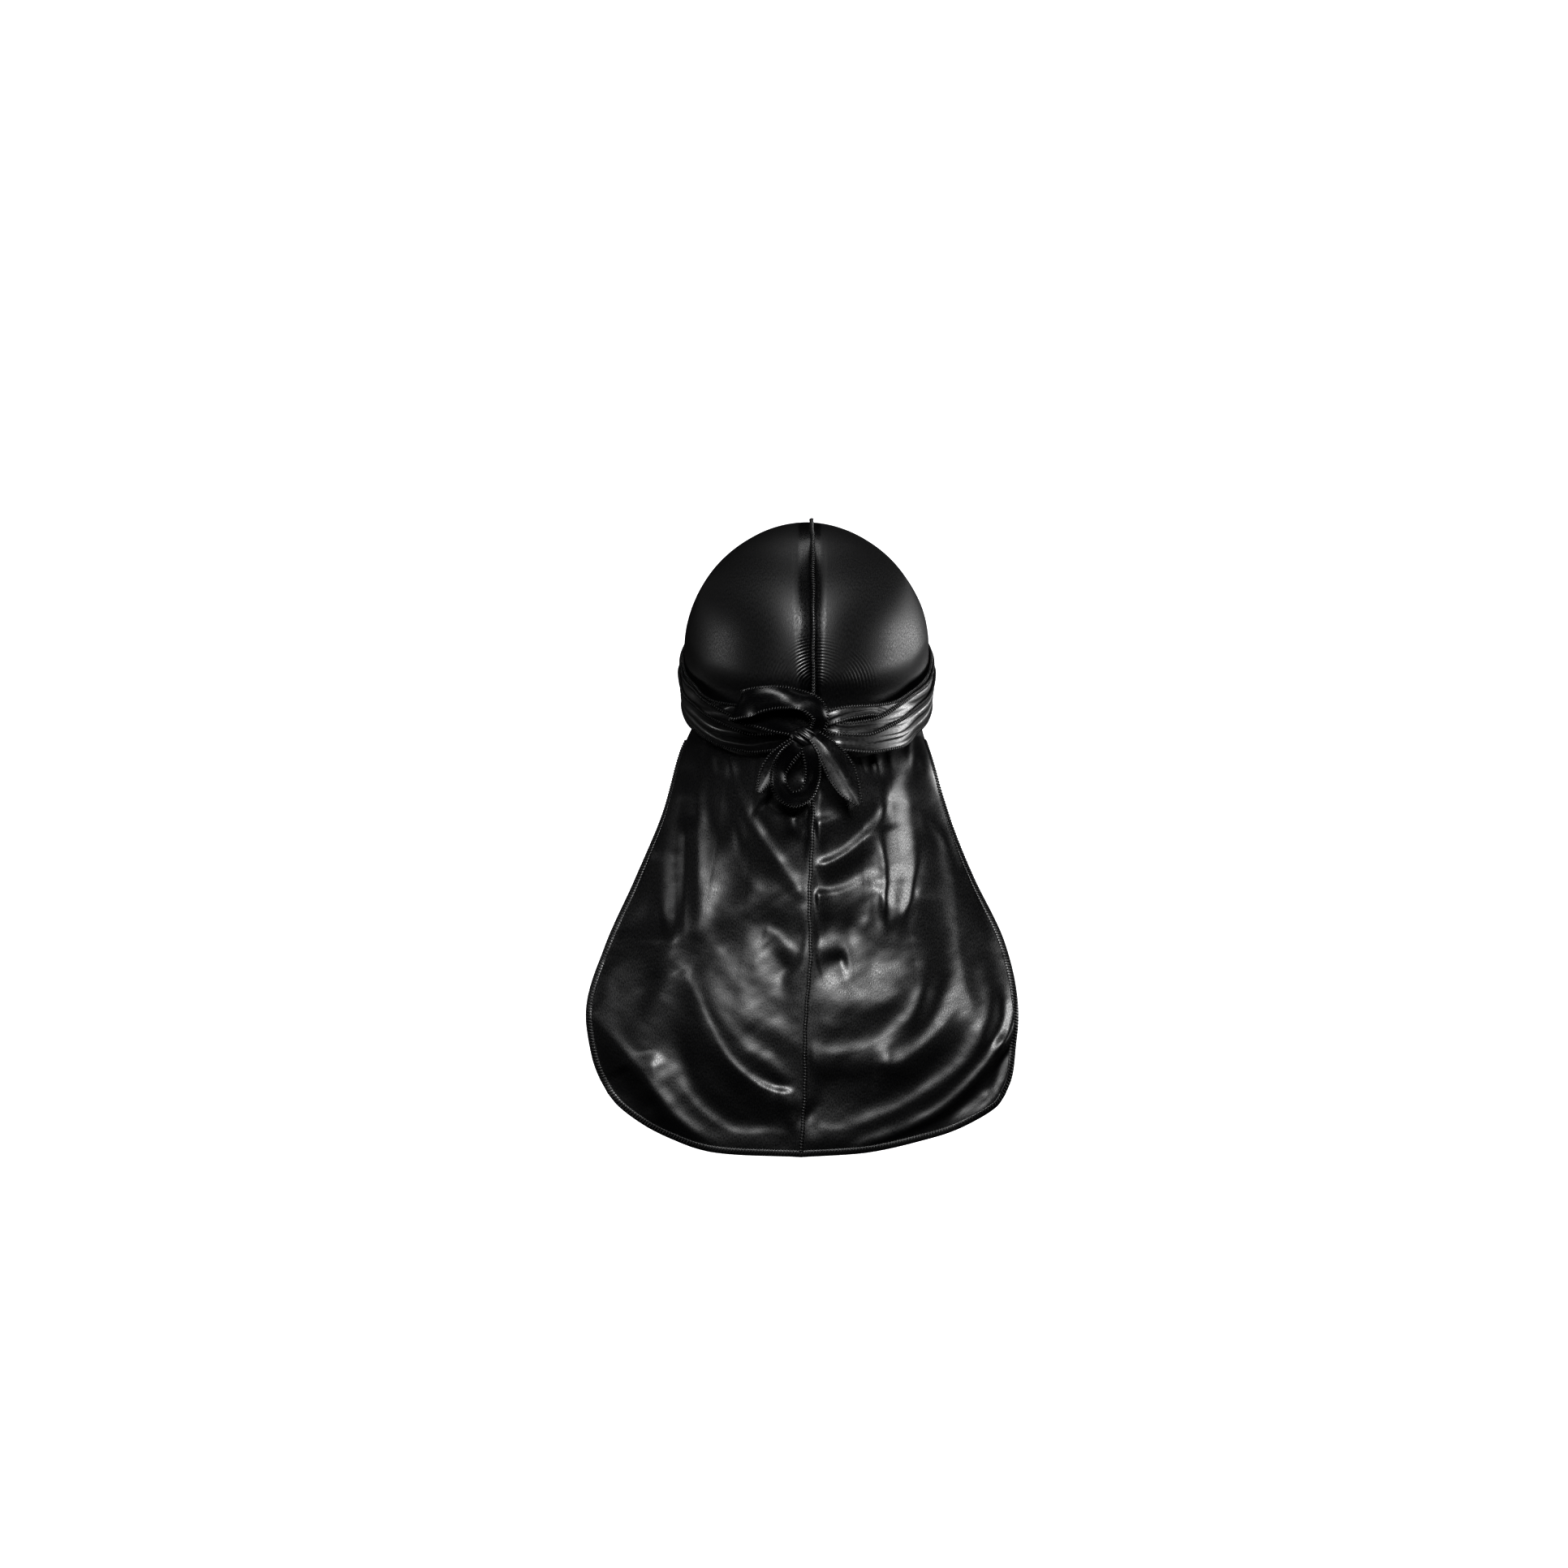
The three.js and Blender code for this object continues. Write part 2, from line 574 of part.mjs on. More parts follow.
// Which layer of the wraps a strap lies in at an angle along its way
function strapLayer(side, angle) {
  const layer = lookUp(STRAP_ROUTE, "layer", angle, "angle");
  if (side > 0) return layer;
  const nape = 1 + smoothstep(-angle, 14, 28);
  if (angle > -28) return mix(LEFT_CROSSING.nape, LEFT_CROSSING.nape + 1, nape - 1);
  if (angle < -150) return mix(2, LEFT_CROSSING.brow, smoothstep(-angle, 150, 165));
  return layer;
}

// A ribbon of cloth through a table of sections, its width laid along each section's lean
function ribbon(sections, count) {
  const line = curveThrough(sections);
  const rows = [];
  for (let k = 0; k <= count; k += 1) {
    const share = k / count;
    const place = share * (sections.length - 1);
    const a = sections[Math.min(Math.floor(place), sections.length - 2)];
    const b = sections[sections.indexOf(a) + 1];
    const between = place - sections.indexOf(a);
    const value = (column) => mix(a[column], b[column], between);
    const middle = line.getPoint(share);
    const along = line.getTangent(share);
    const lean = radians(value("lean"));
    const across = new THREE.Vector3(Math.cos(lean), 0, Math.sin(lean));
    across.addScaledVector(along, -across.dot(along)).normalize();
    const out = across.clone().cross(along).normalize();
    const row = [];
    for (let i = 0; i <= RIBBON_COLUMNS; i += 1) {
      const w = (2 * i) / RIBBON_COLUMNS - 1;
      const point = middle.clone().addScaledVector(across, w * value("half"));
      row.push(point.addScaledVector(out, value("bulge") * (1 - w * w)));
    }
    rows.push(row);
  }
  return wall(rows, CLOTH);
}

// The bow's tight wrap, a flattened round lump of cloth
function knotWrap(grown = 0) {
  const lump = new THREE.SphereGeometry(1, 20, 12);
  lump.scale(KNOT.halfWidth + grown, KNOT.halfDepth + grown, KNOT.halfHeight + grown);
  return lump.translate(KNOT.x, KNOT.y, KNOT.z);
}

function toSolid(geometry) {
  const bare = geometry.clone();
  bare.deleteAttribute("normal");
  bare.deleteAttribute("uv");
  const merged = mergeVertices(bare, 1e-4);
  return new wasm.Manifold(new wasm.Mesh({
    numProp: 3,
    vertProperties: merged.attributes.position.array,
    triVerts: new Uint32Array(merged.index.array),
  }));
}

// What is left of a piece outside the knot, which it comes out of
function clearOfKnot(geometry) {
  const left = toSolid(geometry).subtract(toSolid(knotWrap(REST_GAP)));
  const body = left.decompose().sort((a, b) => b.volume() - a.volume())[0];
  const mesh = body.getMesh();
  const cut = new THREE.BufferGeometry();
  cut.setAttribute("position", new THREE.Float32BufferAttribute(mesh.vertProperties, 3));
  cut.setIndex(new THREE.BufferAttribute(mesh.triVerts, 1));
  cut.computeVertexNormals();
  return cut;
}

const satin = new THREE.MeshStandardMaterial({ color: 0x0b0b0c, roughness: 0.38, metalness: 0 });
const thread = new THREE.MeshStandardMaterial({ color: 0x070707, roughness: 0.7, metalness: 0 });

const durag = new THREE.Group();
durag.name = "durag";

function place(name, geometry, material) {
  const mesh = new THREE.Mesh(geometry, material);
  mesh.name = name;
  durag.add(mesh);
}

place("panel_right", panel(1), satin);
place("panel_left", panel(-1), satin);
place("centre_seam", centreSeam(), thread);
place("tail_hem", tailHem(), thread);
place("front_hem", frontHem(), thread);
place("strap_right", clearOfKnot(strap(1)), satin);
place("strap_left", clearOfKnot(strap(-1)), satin);
place("knot_wrap", knotWrap(), satin);
for (const [name, sections] of Object.entries(BOW)) {
  const count = name.startsWith("bow_loop") ? BOW_SECTIONS : END_SECTIONS;
  place(name, clearOfKnot(ribbon(sections, count)), satin);
}

export default durag;
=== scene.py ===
"""A black satin durag as it is worn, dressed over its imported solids.

The cap and tail are two fine cloth surfaces with their gathers, pleats and swags. Overlocked
edges, the raised middle seam, the wrapped straps and the tied bow are pieces of their own.
"""
import logging
import math
from dataclasses import dataclass, field, replace
from enum import Enum
from typing import Any, Optional, Sequence

import bpy
import numpy as np
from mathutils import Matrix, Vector


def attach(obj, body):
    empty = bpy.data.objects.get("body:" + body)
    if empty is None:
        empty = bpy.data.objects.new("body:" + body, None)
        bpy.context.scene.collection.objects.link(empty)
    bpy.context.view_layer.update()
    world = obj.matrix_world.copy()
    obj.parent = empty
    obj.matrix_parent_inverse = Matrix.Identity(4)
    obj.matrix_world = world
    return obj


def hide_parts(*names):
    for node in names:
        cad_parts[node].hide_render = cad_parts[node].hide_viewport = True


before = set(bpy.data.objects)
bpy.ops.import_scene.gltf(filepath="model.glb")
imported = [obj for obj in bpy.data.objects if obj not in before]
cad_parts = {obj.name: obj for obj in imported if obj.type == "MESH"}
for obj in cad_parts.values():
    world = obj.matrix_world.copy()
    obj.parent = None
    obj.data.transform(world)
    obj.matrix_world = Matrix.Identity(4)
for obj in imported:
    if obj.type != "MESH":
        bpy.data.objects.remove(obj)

MM = 0.001
ROOT_BODY = "root"
log = logging.getLogger("durag")

Span = tuple[float, float]

# How dense the cloth's slubs and its soft unevenness of tone are
SLUB_SCALE = 240.0
TONE_SCALE = 26.0

# How much cloth the weave counts round a tube, in metres
TUBE_GIRTH = 0.01

# How far above a ribbon's middle its edge stitches lie, as a share of its thickness
STITCH_RISE = 0.4

# Where the stretched cap is glossier and where it ripples, in metres
GLOSS_MIDDLE = 0.0015
GLOSS_ASIDE: Span = (0.006, 0.0085)
GLOSS_ABOVE_STRAPS: Span = (-0.112, -0.098)
RIPPLE_MIDDLE = (-0.0065, 0.0, 0.111)
RIPPLE_REACH: Span = (0.02, 0.038)
RIPPLE_FOOT: Span = (-0.114, -0.104)
RIPPLE_SQUASH = (0.92, 0.0, 1.0)
RIPPLE_HEIGHT = 0.22 * MM


def smoothstep(value: np.ndarray, low: float, high: float) -> np.ndarray:
    """Returns 0 below low, 1 above high and an even S between them.

    Args:
        value: The values to ease.
        low: Where the rise starts.
        high: Where it ends.

    Returns:
        The eased values.
    """
    share = np.clip((np.asarray(value, dtype=float) - low) / (high - low), 0.0, 1.0)
    return share * share * (3.0 - 2.0 * share)


def unit(vectors: np.ndarray) -> np.ndarray:
    """Returns vectors scaled to length one along their last axis."""
    return vectors / np.maximum(np.linalg.norm(vectors, axis=-1, keepdims=True), 1e-12)


class Line:
    """A smooth line through points, read by the share of its length."""

    SAMPLES = 48

    def __init__(self, points: Sequence[Sequence[float]]) -> None:
        """Runs a centripetal curve through the points.

        Args:
            points: Two or more points of two or three coordinates.
        """
        given = np.asarray(points, dtype=float)
        ends = np.vstack([2 * given[0] - given[1], given, 2 * given[-1] - given[-2]])
        share = np.linspace(0.0, 1.0, self.SAMPLES, endpoint=False)[:, None]
        pieces = []
        for k in range(len(given) - 1):
            a, b, c, d = ends[k : k + 4]
            s0, s1, s2 = (max(np.linalg.norm(q - p) ** 0.5, 1e-6) for p, q in ((a, b), (b, c), (c, d)))
            t1 = ((b - a) / s0 - (c - a) / (s0 + s1) + (c - b) / s1) * s1
            t2 = ((c - b) / s1 - (d - b) / (s1 + s2) + (d - c) / s2) * s1
            cube = share**3
            square = share**2
            pieces.append(
                (2 * cube - 3 * square + 1) * b
                + (cube - 2 * square + share) * t1
                + (3 * square - 2 * cube) * c
                + (cube - square) * t2
            )
        self.points = np.vstack(pieces + [given[-1:]])
        steps = np.linalg.norm(np.diff(self.points, axis=0), axis=1)
        self.along = np.concatenate([[0.0], np.cumsum(steps)])
        self.length = float(self.along[-1])

    def at(self, share: np.ndarray) -> np.ndarray:
        """Returns the points at shares, 0 to 1, of the line's length."""
        place = np.asarray(share, dtype=float) * self.length
        columns = [np.interp(place, self.along, self.points[:, k]) for k in range(self.points.shape[1])]
        return np.stack(columns, axis=-1)


@dataclass(frozen=True)
class CapForm:
    """The rounded form that the cap is stretched over, in millimetres."""

    half_width: float = 80.0
    front: float = 97.0
    back: float = 99.0
    rise: float = 82.0
    drop: float = 165.0
    widest: float = -81.5
    power: float = 1.9

    @property
    def centre(self) -> np.ndarray:
        """The point that directions are measured from."""
        return np.array([0.0, 0.0, self.widest])

    def from_direction(self, direction: np.ndarray) -> np.ndarray:
        """Returns the points of the form in directions from its centre."""
        d = unit(direction)
        deep = np.where(d[..., 1] > 0, self.front, self.back)
        tall = np.where(d[..., 2] > 0, self.rise, self.drop)
        total = np.abs(d[..., 0] / self.half_width) ** self.power
        total = total + np.abs(d[..., 1] / deep) ** self.power + np.abs(d[..., 2] / tall) ** self.power
        return d * (total ** (-1 / self.power))[..., None] + self.centre

    def outwards(self, points: np.ndarray, ways: np.ndarray) -> np.ndarray:
        """Returns the ways at points, each turned to lead away from the form's centre."""
        return ways * np.sign((ways * (points - self.centre)).sum(axis=-1, keepdims=True))

    def at_band(self, degrees: np.ndarray, height: np.ndarray, offset: np.ndarray) -> np.ndarray:
        """Returns points at angles from the back's middle, at heights and distances off the form.

        Args:
            degrees: Angles round the form, positive towards +X.
            height: Heights above the origin.
            offset: Distances outwards from the form.

        Returns:
            The points, one for each angle.
        """
        angle = np.radians(degrees)
        tall = np.where(height > self.widest, self.rise, self.drop)
        section = (1 - np.abs((height - self.widest) / tall) ** self.power) ** (1 / self.power)
        sideways, forwards = np.sin(angle), -np.cos(angle)
        deep = np.where(forwards > 0, self.front, self.back)
        total = np.abs(sideways / self.half_width) ** self.power + np.abs(forwards / deep) ** self.power
        reach = section * total ** (-1 / self.power) + offset
        return np.stack([sideways * reach, forwards * reach, height * np.ones_like(reach)], axis=-1)


class Side(Enum):
    """The durag's two sides, by the sign of X."""

    RIGHT = 1
    LEFT = -1


@dataclass(frozen=True)
class Fold:
    """One fold of the tail: the path of its crest seen from behind, and its section.

    Each pair holds a value for the path's start and one for its end. A negative height is a
    hollow. Grow and fade are the shares of the path over which it rises and dies away.
    """

    name: str
    path: tuple[Span, ...]
    height: Span
    left: Span
    right: Span
    shift: Span
    grow: float
    fade: float
    power: float = 1.8

    def rise(self, x: np.ndarray, z: np.ndarray) -> np.ndarray:
        """Returns how far the fold stands out at points of the plain tail.

        Args:
            x: The points' X, in millimetres.
            z: Their Z.

        Returns:
            The heights, in millimetres.
        """
        crest = Line(self.path).at(np.linspace(0, 1, 40))
        nearest = np.full(x.shape, np.inf)
        turned = np.zeros(x.shape)
        place = np.zeros(x.shape)
        point = np.stack([x, z], axis=-1)
        for k in range(len(crest) - 1):
            step = crest[k + 1] - crest[k]
            share = np.clip(((point - crest[k]) @ step) / (step @ step), 0, 1)
            away = point - (crest[k] + share[..., None] * step)
            distance = np.hypot(away[..., 0], away[..., 1])
            closer = distance < nearest
            nearest = np.where(closer, distance, nearest)
            turned = np.where(closer, step[0] * away[..., 1] - step[1] * away[..., 0], turned)
            place = np.where(closer, (k + share) / (len(crest) - 1), place)

        def between(pair: Span) -> np.ndarray:
            """Returns a pair's value at each point's place along the path."""
            return pair[0] + (pair[1] - pair[0]) * place

        aside = nearest * np.where(turned >= 0, 1.0, -1.0) - between(self.shift)
        half = np.where(aside > 0, between(self.left), between(self.right))
        grown = smoothstep(place, -0.001, self.grow) if self.grow > 0 else 1.0
        faded = 1 - smoothstep(place, 1 - self.fade, 1.001) if self.fade > 0 else 1.0
        return between(self.height) * np.exp(-((np.abs(aside) / half) ** self.power)) * grown * faded


@dataclass(frozen=True)
class Swell:
    """One soft swell or hollow of the tail: its middle, its long axis's turn, and its sizes."""

    x: float
    z: float
    turn: float
    long: float
    wide: float
    height: float

    def rise(self, x: np.ndarray, z: np.ndarray) -> np.ndarray:
        """Returns how far the swell stands out at points of the plain tail."""
        angle = math.radians(self.turn)
        along = (x - self.x) * math.cos(angle) + (z - self.z) * math.sin(angle)
        across = (z - self.z) * math.cos(angle) - (x - self.x) * math.sin(angle)
        return self.height * np.exp(-((along / self.long) ** 2) - (across / self.wide) ** 2)


# The tail's folds and its soft swells, by where they lie seen from behind, in millimetres
FOLDS: tuple[Fold, ...] = (
    Fold(
        "left_top_pleat",
        ((-66.7, -140), (-68.5, -175), (-67.5, -215), (-67.2, -262)),
        (2.34, 4.81), (6.7, 8.4), (6.6, 7.6), (-0.7, -2.2), 0.05, 0.3,
    ),
    Fold(
        "left_pleat_plane",
        ((-60, -178), (-58.3, -212), (-60, -238), (-66, -260)),
        (2.05, 3.23), (10.9, 10.5), (10.1, 9.9), (-0.8, -0.7), 0.5, 0.3,
    ),
    Fold(
        "left_gather_a",
        ((-59, -141), (-57.8, -153), (-57, -167)),
        (2.55, 2.51), (3.2, 3.2), (3.4, 3.4), (-0.1, 0), 0, 0.7,
    ),
    Fold(
        "left_gather_b",
        ((-51.9, -143), (-49.4, -153.1), (-45.1, -170)),
        (2.42, 2.05), (3.4, 3.5), (4.9, 5), (-0.6, -0.7), 0, 0.6,
    ),
    Fold(
        "left_long_diagonal",
        (
            (-50.1, -146), (-41.5, -177.2), (-33.3, -193.2), (-23.9, -208), (-11.9, -224.9), (-3.4, -237.2),
            (0.7, -245.8),
        ),
        (1.53, 1.57), (5.6, 4.6), (8.7, 8.4), (-2.9, -2.7), 0.05, 0.1,
    ),
    Fold(
        "left_second_diagonal",
        (
            (-55, -160), (-49.8, -178), (-45.4, -207.1), (-38.5, -226.3), (-31, -235), (-17.1, -239.2),
            (-2, -251),
        ),
        (0.94, 0.43), (5.3, 5.6), (9.8, 9.8), (-2, -2.4), 0.2, 0.15,
    ),
    Fold(
        "left_faint_outer",
        ((-79.9, -160), (-83.6, -193), (-85.3, -221), (-84.8, -256), (-87.3, -291)),
        (3.47, 4.25), (8.8, 7.8), (6.6, 6.6), (1.7, 1.2), 0.15, 0.3,
    ),
    Fold(
        "left_faint_inner",
        ((-77.5, -190), (-78, -219), (-77.8, -245), (-77.1, -285)),
        (4.13, 2.67), (6.9, 8.7), (4.2, 6.8), (1, 0), 0.15, 0.3,
    ),
    Fold(
        "left_peak_out",
        ((-79, -287), (-88.1, -304), (-98.5, -318.8), (-102, -334)),
        (-0.14, 0.85), (10.5, 10.5), (7, 7.5), (1.1, 0.6), 0.05, 0.3,
    ),
    Fold(
        "left_peak_in",
        (
            (-78.5, -285.7), (-69.2, -302.1), (-59.8, -320.9), (-49.3, -340.2), (-36.8, -351.8),
            (-23.8, -359.4), (-6, -362),
        ),
        (0.73, 3.03), (4.9, 3), (10.4, 11.2), (-2.3, -2.4), 0.05, 0.1,
    ),
    Fold(
        "left_inner_band",
        ((-64, -284), (-57.6, -310.8), (-43.6, -326.6), (-29.1, -340.1), (-13.1, -348.2)),
        (0.07, 2.96), (7.6, 7.4), (13.2, 13.5), (-2.8, -3.5), 0.15, 0.3,
    ),
    Fold(
        "left_lobe_a",
        ((-58, -278), (-50.5, -296.8), (-41.2, -312.2), (-29.8, -322.8)),
        (0.25, 1.09), (10.1, 9.4), (16, 16.1), (-1.9, -2.5), 0.15, 0.3,
    ),
    Fold(
        "left_lobe_b",
        ((-49, -264), (-39, -285), (-30.2, -302.2), (-15.8, -312.7)),
        (-0.88, 1.63), (9.9, 9.6), (16.8, 17), (-2.6, -2.6), 0.15, 0.3,
    ),
    Fold(
        "left_short_ridge",
        ((-28, -260), (-18.8, -263.7), (-12.6, -269.9), (-3.9, -274.9)),
        (0.63, 0.75), (4.2, 3.9), (8.9, 9.3), (-2.4, -3.5), 0.15, 0.3,
    ),
    Fold(
        "left_short_valley",
        ((-26.9, -268.9), (-18.6, -278.5), (-7.6, -291.7)),
        (0.02, -2.2), (7.7, 7.8), (6.3, 7.4), (0, -0.2), 0.15, 0.3,
    ),
    Fold(
        "left_knot_swag",
        ((-27.7, -179.5), (-15.3, -189.5), (-0.6, -194.1)),
        (2.59, 4.96), (3.8, 6.2), (8.1, 9.6), (-1.3, -1), 0.15, 0.3,
    ),
    Fold(
        "left_low_swag",
        ((-79.9, -351.9), (-66.3, -370.3), (-54.1, -380.2), (-40.1, -385.5), (-22, -383.9), (-8, -388)),
        (1.01, 1.55), (5.2, 5.1), (12.9, 13.3), (-4.7, -4.4), 0.15, 0.1,
    ),
    Fold(
        "left_low_outer",
        ((-94.3, -336.1), (-88.7, -362.3), (-76.4, -378.4), (-62.4, -387.7), (-49.9, -391.7)),
        (3.01, 3.56), (7.1, 5.7), (11.5, 11.1), (-4.7, -5.8), 0.15, 0.3,
    ),
    Fold(
        "left_hem_pull",
        ((-138, -311), (-122.2, -328.2), (-108.9, -342.7), (-98, -360)),
        (1.57, 4.24), (7.6, 5.5), (9.8, 9.9), (-3.3, -3.8), 0.1, 0.3,
    ),
    Fold(
        "left_side_hollow",
        ((-97.2, -212), (-101.1, -240), (-102.8, -272)),
        (-0.86, -2.89), (12.7, 13.1), (12.9, 12.9), (0, 0.3), 0.15, 0.3,
    ),
    Fold(
        "left_side_soft",
        ((-119.8, -262), (-118, -290), (-114, -312)),
        (1.46, 0.23), (12.7, 12.2), (13.7, 13.8), (-0.2, -0.6), 0.15, 0.3,
    ),
    Fold(
        "left_corner_hollow",
        ((-118, -348), (-106.4, -366.4), (-92.1, -380.1)),
        (-1.9, -1.91), (7.6, 7.3), (8.5, 8.5), (-0.5, -0.6), 0.15, 0.3,
    ),
    Fold(
        "right_swag_1",
        ((2, -194.2), (16, -191.1), (27.7, -183.7), (36.1, -172.1)),
        (2.36, 0.83), (3.8, 4.1), (9.8, 9.6), (-2.5, -2.3), 0.1, 0.3,
    ),
    Fold(
        "right_swag_2",
        (
            (2.1, -219.8), (15.6, -216.1), (27.3, -209.4), (39.6, -198.6), (47.4, -188.2), (51.2, -175.4),
            (57, -160),
        ),
        (2.6, 2.65), (2.8, 6.3), (10, 10.9), (-3.8, -1.1), 0.1, 0.25,
    ),
    Fold(
        "right_panel_edge",
        ((59.9, -144), (60.7, -166), (62.9, -186), (63.6, -209), (64.7, -233), (63, -244)),
        (0.41, -0.01), (6.8, 6.9), (8.5, 9.3), (-1.1, -1.7), 0.1, 0.1,
    ),
    Fold(
        "right_panel_foot",
        ((63.9, -240), (61.4, -247.5), (55.1, -246.9), (47.8, -241.2), (40.1, -227)),
        (0.88, 2.21), (11, 11.2), (5.3, 4.8), (1.8, 1.8), 0.2, 0.3,
    ),
    Fold(
        "right_panel_plane",
        ((49.8, -196.1), (54.5, -215.1), (57.1, -232)),
        (1.09, 2.26), (8.6, 8.8), (12, 12.3), (-1.6, -1.5), 0.15, 0.3,
    ),
    Fold(
        "right_swag_3",
        ((3, -237.9), (18.9, -236.7), (31.2, -231.3), (41, -224.9)),
        (2.61, 0.37), (2.8, 4.7), (10, 10.6), (-3, -2.7), 0.1, 0.3,
    ),
    Fold(
        "right_faint_drop",
        ((40, -227), (37.6, -250.1), (32.4, -267.1)),
        (-0.62, 1.18), (5.9, 6), (4.2, 3.9), (0.8, 1.4), 0.15, 0.3,
    ),
    Fold(
        "right_arch",
        ((3, -273.1), (10.2, -268.4), (19, -267.1), (27.1, -268.9), (31, -278)),
        (0.37, -0.19), (2.8, 3.3), (8.4, 8.4), (-2.8, -2.1), 0.1, 0.2,
    ),
    Fold(
        "right_arch_hollow",
        ((4.1, -283.3), (15.1, -280.8), (26, -279.1)),
        (-0.46, -3.27), (6.3, 5.4), (7.6, 8.3), (-0.8, -1.3), 0.15, 0.3,
    ),
    Fold(
        "right_broad_lobe",
        ((5, -299.8), (23.1, -299.6), (38.1, -297.4), (55.9, -287.7)),
        (0.39, 0.7), (12.7, 12.9), (30, 30), (-7.1, -7), 0.1, 0.3,
    ),
    Fold(
        "right_side_edge",
        (
            (69.2, -138.9), (78.1, -161.7), (84.3, -192.9), (90.8, -220.9), (93.2, -250), (95.1, -279),
            (98.7, -298.1), (102.9, -310.1), (109.1, -320),
        ),
        (2.18, 1.49), (8.1, 7.8), (7.2, 8.6), (1.8, 0.3), 0.1, 0.1,
    ),
    Fold(
        "right_dark_band",
        ((78.9, -235), (79.9, -262), (79.3, -288.1), (71, -308)),
        (-0.71, -0.25), (8.8, 8.8), (8.2, 7.8), (-0.1, 0.5), 0.15, 0.3,
    ),
    Fold(
        "right_mid_hollow",
        ((8, -318), (28, -316.6), (45.1, -313.3), (60.1, -304.1)),
        (0, -1.7), (9.3, 9.9), (9.3, 9.7), (0.2, -0.3), 0.15, 0.3,
    ),
    Fold(
        "right_mid_swag",
        ((4, -335.8), (31.3, -333.1), (46.1, -326.1), (60, -317), (68.5, -306.6), (74, -296)),
        (1.68, 3.48), (7, 7.9), (15, 14.4), (-5.2, -3.5), 0.15, 0.3,
    ),
    Fold(
        "right_v_swag",
        ((40, -341.3), (55, -342.1), (66.2, -335.3), (78.1, -325.1), (89.1, -314.1), (95.7, -304.7)),
        (3.04, 2.5), (7.3, 7.1), (12.1, 12.3), (-4, -2.9), 0.15, 0.3,
    ),
    Fold(
        "right_low_hollow",
        ((2, -355.9), (22, -355), (42.9, -351.8), (62, -343.9)),
        (-1.48, -1.63), (9, 9.1), (9.6, 9.1), (0.1, 0.3), 0.15, 0.3,
    ),
    Fold(
        "right_long_curve",
        (
            (2, -381.9), (21, -383.3), (35.8, -378.4), (52.1, -372.2), (67.9, -363.9), (83.2, -355.4),
            (96.7, -344.7), (105.9, -332), (112.5, -312.1), (111.2, -296), (108.9, -280),
        ),
        (0.71, 4.01), (4.7, 8.8), (10.2, 9), (-3.7, -2.9), 0.05, 0.2,
    ),
    Fold(
        "right_thin_curve",
        (
            (30.9, -391.8), (46.2, -387.5), (66.3, -379.7), (83.2, -370.3), (97.4, -357.4), (112.5, -340.6),
            (122.9, -325.7), (126.1, -308.1), (124.7, -290),
        ),
        (2.66, 6.05), (5.9, 4.9), (2.8, 2.8), (-4.4, -4.7), 0.1, 0.25,
    ),
    Fold(
        "right_corner",
        ((88, -382), (103.2, -371.3), (116.5, -358.5)),
        (0.84, 1.98), (5.8, 4.4), (12.4, 12.4), (-3.2, -3.7), 0.15, 0.3,
    ),
    Fold(
        "right_slack",
        ((103.1, -222), (107.7, -255.1), (116.8, -282.1)),
        (1.2, 0.41), (5.8, 5.7), (7.4, 7.8), (-0.8, -1.3), 0.15, 0.3,
    ),
    Fold(
        "right_gather_a",
        ((28, -148), (26.2, -159), (24, -169)),
        (1.87, 1.7), (3.7, 3.7), (2.9, 3), (0.4, 0.3), 0, 0.6,
    ),
    Fold(
        "right_gather_b",
        ((33, -148), (35.3, -159.3), (41, -167)),
        (2.34, 2.12), (2.8, 2.8), (4, 4.1), (-0.7, -0.7), 0, 0.5,
    ),
    Fold(
        "right_gather_c",
        ((42, -147), (44.7, -158.1), (47, -170)),
        (3.22, 2.53), (3, 2.8), (3.6, 3.6), (-0.5, -0.5), 0, 0.6,
    ),
    Fold(
        "right_gather_d",
        ((51.1, -145), (53, -155), (54.9, -166)),
        (1.62, 1.02), (3.2, 2.8), (3.5, 3.3), (-0.3, -0.5), 0, 0.6,
    ),
    Fold(
        "right_gather_loop",
        ((66, -138), (65.7, -149), (66.2, -162)),
        (2.24, 1.31), (2.8, 2.8), (3.4, 3), (-0.7, -0.4), 0, 0.5,
    ),
    Fold(
        "right_ironed",
        ((42, -278.1), (58, -281.1), (75, -285)),
        (0.19, -0.7), (3.2, 3.3), (3.4, 3.3), (-0.7, -0.5), 0.15, 0.3,
    ),
)

